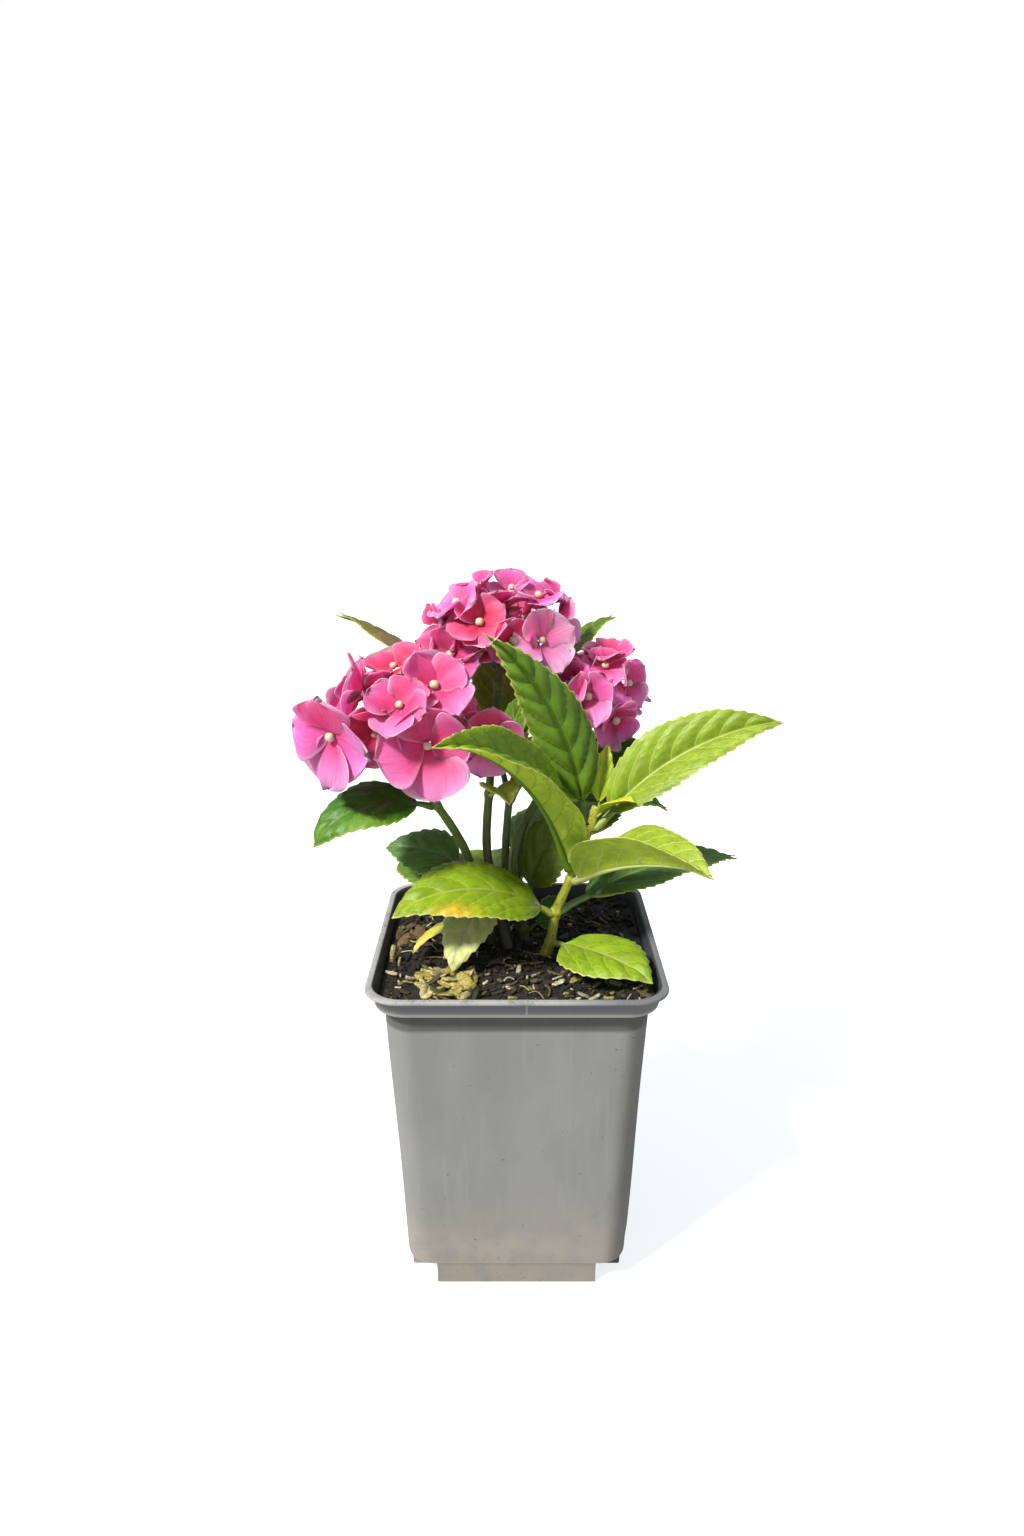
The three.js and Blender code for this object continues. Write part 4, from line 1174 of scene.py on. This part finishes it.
def outer_profile():
    """Half widths and heights up the outside: foot, body, band and lip."""
    lip = POT_HEIGHT - LIP_DEPTH
    foot = [(FOOT_HALF - 1.1, 0), (FOOT_HALF - 0.5, 0.25), (FOOT_HALF - 0.3, 0.9),
            (FOOT_HALF, FOOT_HEIGHT - 2.6), (BODY_FOOT_HALF - 0.25, FOOT_HEIGHT + 0.1),
            (BODY_FOOT_HALF - 0.1, FOOT_HEIGHT + 0.5)]
    walls = [(body_half(z), z) for z in np.linspace(FOOT_HEIGHT + 1.4, BAND_Z - 0.6, 22)]
    band = [(BODY_TOP_HALF, BAND_Z - 0.1), (BAND_FOOT_HALF - 0.8, BAND_Z),
            (BAND_FOOT_HALF - 0.2, BAND_Z + 0.2), (BAND_FOOT_HALF, BAND_Z + 0.7),
            (BAND_TOP_HALF - 0.4, lip - 1.2), (BAND_TOP_HALF, lip - 0.15)]
    rim = [(BAND_TOP_HALF + 0.5, lip), (RIM_HALF - 0.5, lip), (RIM_HALF - 0.15, lip + 0.15),
           (RIM_HALF, lip + 0.5), (RIM_HALF, POT_HEIGHT - 0.6), (RIM_HALF - 0.2, POT_HEIGHT - 0.2),
           (RIM_HALF - 0.7, POT_HEIGHT), (RIM_INNER_HALF - 3, POT_HEIGHT)]
    return foot + walls + band + rim


def inner_profile():
    """Half widths and heights up the inside, and on out of the top."""
    foot = [(FOOT_HALF - WALL - 0.8, FLOOR), (FOOT_HALF - WALL, FLOOR + 0.8),
            (FOOT_HALF - WALL, FOOT_HEIGHT), (body_half(FOOT_HEIGHT + 1.5) - WALL, FOOT_HEIGHT + 1.5)]
    walls = [(body_half(z) - WALL, z) for z in np.linspace(30, BAND_Z, 8)]
    band = [(body_half(BAND_Z) - WALL + 0.1, BAND_Z + 0.9), (BAND_FOOT_HALF - WALL, BAND_Z + 1.8),
            (BAND_TOP_HALF - WALL, POT_HEIGHT - LIP_DEPTH), (RIM_INNER_HALF - 0.15, POT_HEIGHT - 0.7)]
    rim = [(RIM_INNER_HALF + 0.1, POT_HEIGHT - 0.25), (RIM_INNER_HALF + 0.6, POT_HEIGHT + 0.02),
           (RIM_INNER_HALF + 0.6, POT_HEIGHT + 3)]
    return foot + walls + band + rim


def pot():
    """The thin-walled pot, with the corners of its foot cut away over four drain holes."""
    outer = loft("pot_shell", outer_profile(), WALL_SAG)
    cavity = loft("cavity", inner_profile())
    cut_corners(cavity, NOTCH_FROM - WALL, FOOT_HEIGHT + WALL + 0.5)
    cut_corners(outer, NOTCH_FROM, FOOT_HEIGHT)
    cut(outer, cavity)
    for sx, sy in CORNERS:
        cut(outer, drain(sx, sy))
    shell = outer.data
    shell.materials.clear()
    shell.materials.append(pot_material())
    shell.polygons.foreach_set("material_index", [0] * len(shell.polygons))
    shell.shade_smooth()
    shell.set_sharp_from_angle(angle=35 * RAD)
    dress(outer, ["pot"])


# ---- materials

class Paint:
    """A material's node tree, built by short calls that take sockets or plain values."""

    def __init__(self, name):
        self.material = bpy.data.materials.new(name)
        self.material.use_nodes = True
        self.tree = self.material.node_tree
        self.shader = self.tree.nodes["Principled BSDF"]

    def feed(self, value, target):
        """Gives an input the socket to read, or a plain value."""
        if isinstance(value, bpy.types.NodeSocket):
            self.tree.links.new(value, target)
        else:
            target.default_value = value

    def put(self, kind, inputs, **settings):
        """Adds a node and gives each named input its socket or value."""
        node = self.tree.nodes.new(kind)
        for key, value in settings.items():
            setattr(node, key, value)
        for key, value in inputs.items():
            self.feed(value, node.inputs[key])
        return node

    def value(self, name, output="Fac"):
        return self.put("ShaderNodeAttribute", {}, attribute_name=name).outputs[output]

    def colour(self, name):
        return self.value(name, "Color")

    def vector(self, name):
        return self.value(name, "Vector")

    def coordinate(self, kind):
        return self.put("ShaderNodeTexCoord", {}).outputs[kind]

    def maths(self, operation, a, b=0.0, c=0.0):
        return self.put("ShaderNodeMath", {0: a, 1: b, 2: c}, operation=operation).outputs[0]

    def times(self, a, b):
        return self.maths("MULTIPLY", a, b)

    def shade(self, colour, x):
        """The colour times a grey."""
        grey = self.put("ShaderNodeCombineColor", {0: x, 1: x, 2: x}).outputs[0]
        return self.mix(1.0, colour, grey, "MULTIPLY")

    def ramp(self, x, low, high, start=0.0, end=1.0):
        inputs = {"Value": x, "From Min": low, "From Max": high, "To Min": start, "To Max": end}
        return self.put("ShaderNodeMapRange", inputs, interpolation_type="SMOOTHSTEP").outputs[0]

    def mix(self, share, a, b, kind="MIX"):
        node = self.put("ShaderNodeMix", {}, data_type="RGBA", blend_type=kind)
        for index, value in ((0, share), (6, a), (7, b)):
            self.feed((*value, 1) if isinstance(value, tuple) else value, node.inputs[index])
        return node.outputs[2]

    def noise(self, vector, scale, detail=3.0, rough=0.55):
        inputs = {"Vector": vector, "Scale": scale, "Detail": detail, "Roughness": rough}
        return self.put("ShaderNodeTexNoise", inputs).outputs["Fac"]

    def cells(self, vector, scale):
        """How far each point lies from the nearest of some scattered spots."""
        return self.put("ShaderNodeTexVoronoi", {"Vector": vector, "Scale": scale}).outputs["Distance"]

    def stretch(self, vector, scale):
        return self.put("ShaderNodeMapping", {"Vector": vector, "Scale": scale}).outputs[0]

    def bump(self, height, strength, distance, normal=None):
        inputs = {"Height": height, "Strength": strength, "Distance": distance * MM}
        if normal:
            inputs["Normal"] = normal
        return self.put("ShaderNodeBump", inputs).outputs[0]

    def finish(self, colour, rough, normal, **settings):
        """Joins the colour, the roughness and the bump to the shader and sets its constants."""
        for key, value in (("Base Color", colour), ("Roughness", rough), ("Normal", normal)):
            self.feed(value, self.shader.inputs[key])
        for key, value in settings.items():
            self.feed(value, self.shader.inputs[key.replace("_", " ")])
        return self.material


def once(make):
    """Makes a material the first time it is asked for, and gives the same one after."""
    made = []

    def give():
        if not made:
            made.append(make(Paint(make.__name__)))
        return made[0]
    return give


@once
def leaf_material(p):
    """Green between paler veins and rungs, with a pale margin and blistered in relief; on the
    deep look the veins are darker, painted shade in their valleys.
    """
    place = p.vector("place")
    phase = p.maths("FRACT", p.value("vein"))
    away = p.maths("SUBTRACT", 0.5, p.maths("ABSOLUTE", p.maths("SUBTRACT", phase, 0.5)))
    from_vein = p.times(away, p.value("spacing"))
    side_vein = p.ramp(from_vein, 0.46, 0.08)
    midrib = p.ramp(p.value("rib"), 0.80, 0.30)
    # Rungs cross from one side vein to the next, about 3 mm apart.
    drift = p.times(p.noise(place, 0.16, 2.0), 14.0)
    rung = p.maths("SINE", p.maths("ADD", p.times(p.value("rib"), 1.9), drift))
    blister = p.times(p.maths("MULTIPLY_ADD", rung, 0.5, 0.5), p.ramp(from_vein, 0.2, 2.0))
    net = p.times(p.ramp(rung, -0.75, -1.0), 0.09)
    pale = p.maths("MAXIMUM", p.maths("MAXIMUM", p.times(side_vein, 0.8), midrib), net)
    mottle = p.ramp(p.noise(place, 0.16, 4.0), 0.3, 0.7, 0.84, 1.14)
    body = p.mix(pale, p.shade(p.colour("tint"), mottle), p.colour("veins"))
    brim = p.ramp(p.value("edge"), 0.75, 0.12)
    colour = p.mix(brim, body, p.colour("margin"))
    fine = p.noise(place, 1.6, 4.0)
    relief = p.maths("SUBTRACT", blister, p.times(side_vein, 0.9))
    normal = p.bump(fine, 0.05, 0.08, p.bump(relief, 0.26, 0.32))
    rough = p.ramp(fine, 0.2, 0.8, 0.44, 0.58)
    return p.finish(colour, rough, normal, Subsurface_Weight=0.45, Subsurface_Radius=(0.9, 1.0, 0.25),
                    Subsurface_Scale=1.6 * MM, Specular_IOR_Level=0.35)


@once
def stalk_material(p):
    """The midrib and stalk, streaked along their length."""
    streak = p.noise(p.stretch(p.vector("place"), (0.25, 1.6, 1)), 1.2, 4.0)
    tint = p.mix(p.ramp(streak, 0.3, 0.75), p.colour("tint"), p.colour("veins"))
    colour = p.shade(tint, p.ramp(streak, 0.2, 0.8, 0.75, 1.1))
    return p.finish(colour, p.ramp(streak, 0.2, 0.8, 0.38, 0.55), p.bump(streak, 0.4, 0.3),
                    Subsurface_Weight=0.15, Subsurface_Radius=(0.8, 1.0, 0.3), Subsurface_Scale=1.5 * MM)


@once
def stem_material(p):
    """Green bark with upright streaks and small brown flecks."""
    place = p.vector("place")
    streak = p.noise(p.stretch(place, (1.4, 0.16, 1)), 1.0, 5.0)
    fleck = p.ramp(p.cells(place, 0.55), 0.30, 0.16, 0.0, 0.7)
    tint = p.shade(p.colour("tint"), p.ramp(streak, 0.25, 0.75, 0.6, 1.35))
    brown = (0.09, 0.045, 0.02)
    normal = p.bump(streak, 0.6, 0.5, p.bump(fleck, 0.4, 0.3))
    return p.finish(p.mix(fleck, tint, brown), p.ramp(streak, 0.2, 0.8, 0.42, 0.62), normal)


@once
def petal_material(p):
    """Pink with fine deeper ribs, paler bluish blotches and a light brim, partly a painted highlight."""
    ribs_pink, blotch_pink, brim_and_highlight_pink = (0.34, 0.012, 0.07), (0.46, 0.16, 0.33), (0.94, 0.36, 0.60)
    place = p.vector("place")
    ribs = p.noise(p.stretch(place, (1.1, 0.07, 1)), 1.0, 4.0)
    blotch = p.noise(p.stretch(place, (0.08, 0.12, 0.4)), 1.0, 3.0)
    deep = p.mix(p.ramp(ribs, 0.52, 0.68, 0.0, 0.35), p.colour("tint"), ribs_pink)
    tone = p.mix(p.ramp(blotch, 0.42, 0.7, 0.0, 0.25), deep, blotch_pink)
    # The light brim: partly the pale margin, partly a painted highlight along the edge.
    brim = p.ramp(p.value("edge"), 0.45, 0.05, 0.0, 0.6)
    rough = p.ramp(ribs, 0.2, 0.8, 0.48, 0.64)
    return p.finish(p.mix(brim, tone, brim_and_highlight_pink), rough, p.bump(ribs, 0.55, 0.4), Subsurface_Weight=0.75,
                    Subsurface_Radius=(1.0, 0.35, 0.6), Subsurface_Scale=2.5 * MM, Specular_IOR_Level=0.3)


@once
def bead_material(p):
    """Cream, faintly spotted."""
    spots = p.noise(p.vector("place"), 1.1, 3.0)
    shade = p.mix(p.ramp(spots, 0.35, 0.7), (0.50, 0.44, 0.24), (0.56, 0.53, 0.42))
    colour = p.mix(0.5, p.colour("tint"), shade)
    return p.finish(colour, 0.45, p.bump(spots, 0.3, 0.3), Subsurface_Weight=0.2,
                    Subsurface_Radius=(1.0, 0.8, 0.5), Subsurface_Scale=1.0 * MM)


@once
def soil_material(p):
    """Nearly black peat with brown specks, rough all over."""
    place = p.vector("place")
    coarse = p.noise(place, 0.22, 4.0)
    fine = p.noise(place, 1.6, 5.0, 0.7)
    brown = p.mix(p.ramp(coarse, 0.42, 0.66), p.colour("tint"), (0.018, 0.011, 0.007))
    speck = p.ramp(p.cells(place, 0.9), 0.20, 0.10, 0.0, 0.5)
    colour = p.mix(speck, brown, (0.085, 0.055, 0.028))
    return p.finish(colour, p.ramp(fine, 0.3, 0.7, 0.62, 0.95), p.bump(fine, 1.0, 1.0))


@once
def bark_material(p):
    """The colour of each chip or fibre, with a coarse grain."""
    grain = p.noise(p.stretch(p.vector("place"), (0.5, 1.7, 1.0)), 1.0, 5.0, 0.65)
    tint = p.shade(p.colour("tint"), p.ramp(grain, 0.3, 0.7, 0.4, 1.45))
    return p.finish(tint, p.ramp(grain, 0.3, 0.7, 0.6, 0.9), p.bump(grain, 0.8, 0.6))


@once
def pot_material(p):
    """Matt grey plastic: faint runs, dust from the ground up, painted shade toward its right-hand
    side, a darker band that is partly painted shade, with painted shadow under it and a painted
    highlight on its foot, and a lip rubbed pale, partly painted light.
    """
    place = p.put("ShaderNodeVectorMath", {0: p.coordinate("Object"), "Scale": 1 / MM},
                  operation="SCALE").outputs[0]
    axes = p.put("ShaderNodeSeparateXYZ", {0: place}).outputs
    height = axes[2]
    fine = p.noise(place, 1.3, 5.0, 0.6)
    cloud = p.noise(p.stretch(place, (0.05, 0.05, 0.02)), 1.0, 4.0)
    patches = p.noise(place, 0.09, 5.0)
    colour = pot_greys(p, place, height, cloud, patches)
    # Painted shade: the wall darkens toward its right-hand side, away from the light.
    taper = (BODY_FOOT_HALF - BODY_TOP_HALF) / (BAND_Z - FOOT_HEIGHT)
    corner = p.maths("MULTIPLY_ADD", height, taper, axes[0])
    colour = p.shade(colour, p.ramp(corner, 35.0, 46.0, 1.0, 0.66))
    colour = pot_band(p, height, colour)
    colour = pot_lip(p, axes, fine, patches, colour)
    normal = p.bump(fine, 0.22, 0.25, p.bump(cloud, 0.35, 1.2))
    return p.finish(colour, p.ramp(fine, 0.25, 0.75, 0.42, 0.62), normal, Specular_IOR_Level=0.4)


def pot_greys(p, place, height, cloud, patches):
    """The wall's greys, with upright runs, dust and specks of dirt thickest on the foot, and a painted
    highlight along the step at the top of the foot.
    """
    runs = p.noise(p.stretch(place, (0.35, 0.35, 0.012)), 1.0, 3.0)
    grey = p.mix(p.ramp(cloud, 0.3, 0.7), POT_COLOURS["grey"], POT_COLOURS["pale_grey"])
    grey = p.mix(p.ramp(runs, 0.55, 0.72, 0.0, 0.22), grey, POT_COLOURS["run"])
    dusty = p.times(p.ramp(height, 50.0, 4.0), p.ramp(patches, 0.2, 0.62))
    dust = p.mix(dusty, grey, POT_COLOURS["dust"])
    # A painted highlight: a pale line along the step at the top of the foot.
    from_step = p.maths("ABSOLUTE", p.maths("SUBTRACT", height, FOOT_HEIGHT + 0.6))
    step = p.maths("SUBTRACT", 1.0, p.ramp(from_step, 0.2, 0.7))
    dust = p.mix(p.times(step, 0.6), dust, POT_COLOURS["step"])
    flecks = p.cells(p.stretch(place, (0.12, 0.12, 0.2)), 1.0)
    marked = p.mix(p.ramp(flecks, 0.075, 0.04, 0.0, 0.8), dust, POT_COLOURS["fleck"])
    crumbs = p.ramp(p.cells(p.stretch(place, (0.3, 0.3, 0.5)), 1.0), 0.16, 0.09)
    low = p.times(p.ramp(height, FOOT_HEIGHT, 3.0), 0.6)
    return p.mix(p.times(crumbs, low), marked, POT_COLOURS["mud"])


def pot_band(p, height, colour):
    """The band under the lip, darker partly as painted shade, with a painted highlight along its foot
    and a painted shadow on the wall under it.
    """
    on_band = p.ramp(height, BAND_Z - 0.2, BAND_Z + 0.4)
    # Painted shadow of the band on the wall under it.
    colour = p.shade(colour, p.ramp(height, BAND_Z - 9.3, BAND_Z - 7.2, 1.0, 0.44))
    # The band's own darker grey, partly painted shade of the lip over it.
    colour = p.mix(on_band, colour, POT_COLOURS["band"])
    # A painted highlight along the foot of the band.
    foot = p.times(p.ramp(height, BAND_Z + 2.0, BAND_Z + 1.2), on_band)
    return p.mix(p.times(foot, 0.85), colour, POT_COLOURS["band_foot_highlight"])


def pot_lip(p, axes, fine, patches, colour):
    """The lip, rubbed pale in patches along the front and the left and painted lighter toward the
    left where the light falls, and the inside of the wall, darker with soil stains and painted shade.
    """
    lip = POT_HEIGHT - LIP_DEPTH
    weld = p.times(p.maths("COMPARE", axes[0], 3.7, 0.35), p.ramp(axes[1], -50, -52))
    weld = p.times(weld, p.ramp(axes[2], BAND_Z + 1.5, BAND_Z + 2.0, 0.0, 0.8))
    colour = p.mix(weld, colour, POT_COLOURS["weld"])
    # Partly wear and partly painted light: the lip pales toward the left, where the light falls.
    worn_and_lit_side = p.ramp(axes[0], 46.0, 6.0, 0.15, 0.9)
    wear_and_light = p.times(worn_and_lit_side, p.ramp(p.maths("ADD", fine, patches), 0.72, 1.02, 0.35, 1.0))
    lip_colour = p.mix(wear_and_light, POT_COLOURS["lip"], POT_COLOURS["worn_lit_lip"])
    colour = p.mix(p.ramp(axes[2], lip - 0.1, lip + 0.3), colour, lip_colour)
    # Partly soil stains and partly painted shade: the inside of the wall is darker.
    from_axis = p.stretch(p.coordinate("Object"), (1, 1, 0))
    outward = p.put("ShaderNodeVectorMath", {0: p.coordinate("Normal"), 1: from_axis},
                    operation="DOT_PRODUCT").outputs["Value"]
    return p.mix(p.ramp(outward, -10 * MM, -30 * MM), colour, POT_COLOURS["stain_and_shade"])


# ---- stage

def by_camera(tree, unseen, seen, output):
    """Shows one shader to the camera and lets the other one light the plant."""
    ray = tree.nodes.new("ShaderNodeLightPath")
    mix = tree.nodes.new("ShaderNodeMixShader")
    tree.links.new(ray.outputs["Is Camera Ray"], mix.inputs[0])
    tree.links.new(unseen.outputs[0], mix.inputs[1])
    tree.links.new(seen.outputs[0], mix.inputs[2])
    tree.links.new(mix.outputs[0], tree.nodes[output].inputs[0])


def paper():
    """White paper that throws back part of the light and whose own shadows are faint."""
    material = bpy.data.materials.new("paper")
    material.use_nodes = True
    tree = material.node_tree
    tree.nodes.remove(tree.nodes["Principled BSDF"])
    dull = tree.nodes.new("ShaderNodeBsdfDiffuse")
    dull.inputs["Color"].default_value = (*PAPER, 1)
    glow = tree.nodes.new("ShaderNodeEmission")
    glow.inputs["Color"].default_value = (*PAPER_GLOW, 1)
    both = tree.nodes.new("ShaderNodeAddShader")
    tree.links.new(dull.outputs[0], both.inputs[0])
    tree.links.new(glow.outputs[0], both.inputs[1])
    by_camera(tree, dull, both, "Material Output")
    return material


def stage():
    """A pale floor under a soft sky, which the camera sees as plain white."""
    wide = FLOOR_HALF
    floor = bare("floor", [(-wide, -wide, 0), (wide, -wide, 0), (wide, wide, 0), (-wide, wide, 0)],
                 [(0, 1, 2, 3)])
    floor.data.materials.append(paper())
    world = bpy.data.worlds.new("studio")
    bpy.context.scene.world = world
    world.use_nodes = True
    sky = world.node_tree.nodes["Background"]
    sky.inputs["Color"].default_value = (*SKY, 1)
    sky.inputs["Strength"].default_value = SKY_STRENGTH
    backdrop = world.node_tree.nodes.new("ShaderNodeBackground")
    backdrop.inputs["Color"].default_value = (1, 1, 1, 1)
    by_camera(world.node_tree, sky, backdrop, "World Output")
    bpy.context.scene.view_settings.view_transform = "Standard"


def sun():
    """One broad sun, high at the front left, as in the photograph."""
    light = bpy.data.lights.new("key", "SUN")
    light.angle = SUN_WIDTH * RAD
    light.energy = SUN_STRENGTH
    light.color = SUN_COLOUR
    linked("key", light).rotation_euler = (-Vector(SUN_FROM)).to_track_quat("-Z", "Y").to_euler()


def camera():
    """The camera that was fitted to the pot in the photograph."""
    data = bpy.data.cameras.new("camera")
    data.sensor_width = 36
    data.lens = FOCAL_LENGTH / FRAME_HEIGHT * data.sensor_width
    data.clip_start = 0.01
    view = linked("camera", data)
    view.location = Vector(CAMERA_AT) * MM
    view.rotation_euler = ((90 - CAMERA_PITCH) * RAD, 0, 0)
    bpy.context.scene.camera = view


camera()
stage()
sun()
pot()
soil()
chips()
stems()
leaves()
for bloom_name in BLOOMS:
    bloom(bloom_name)
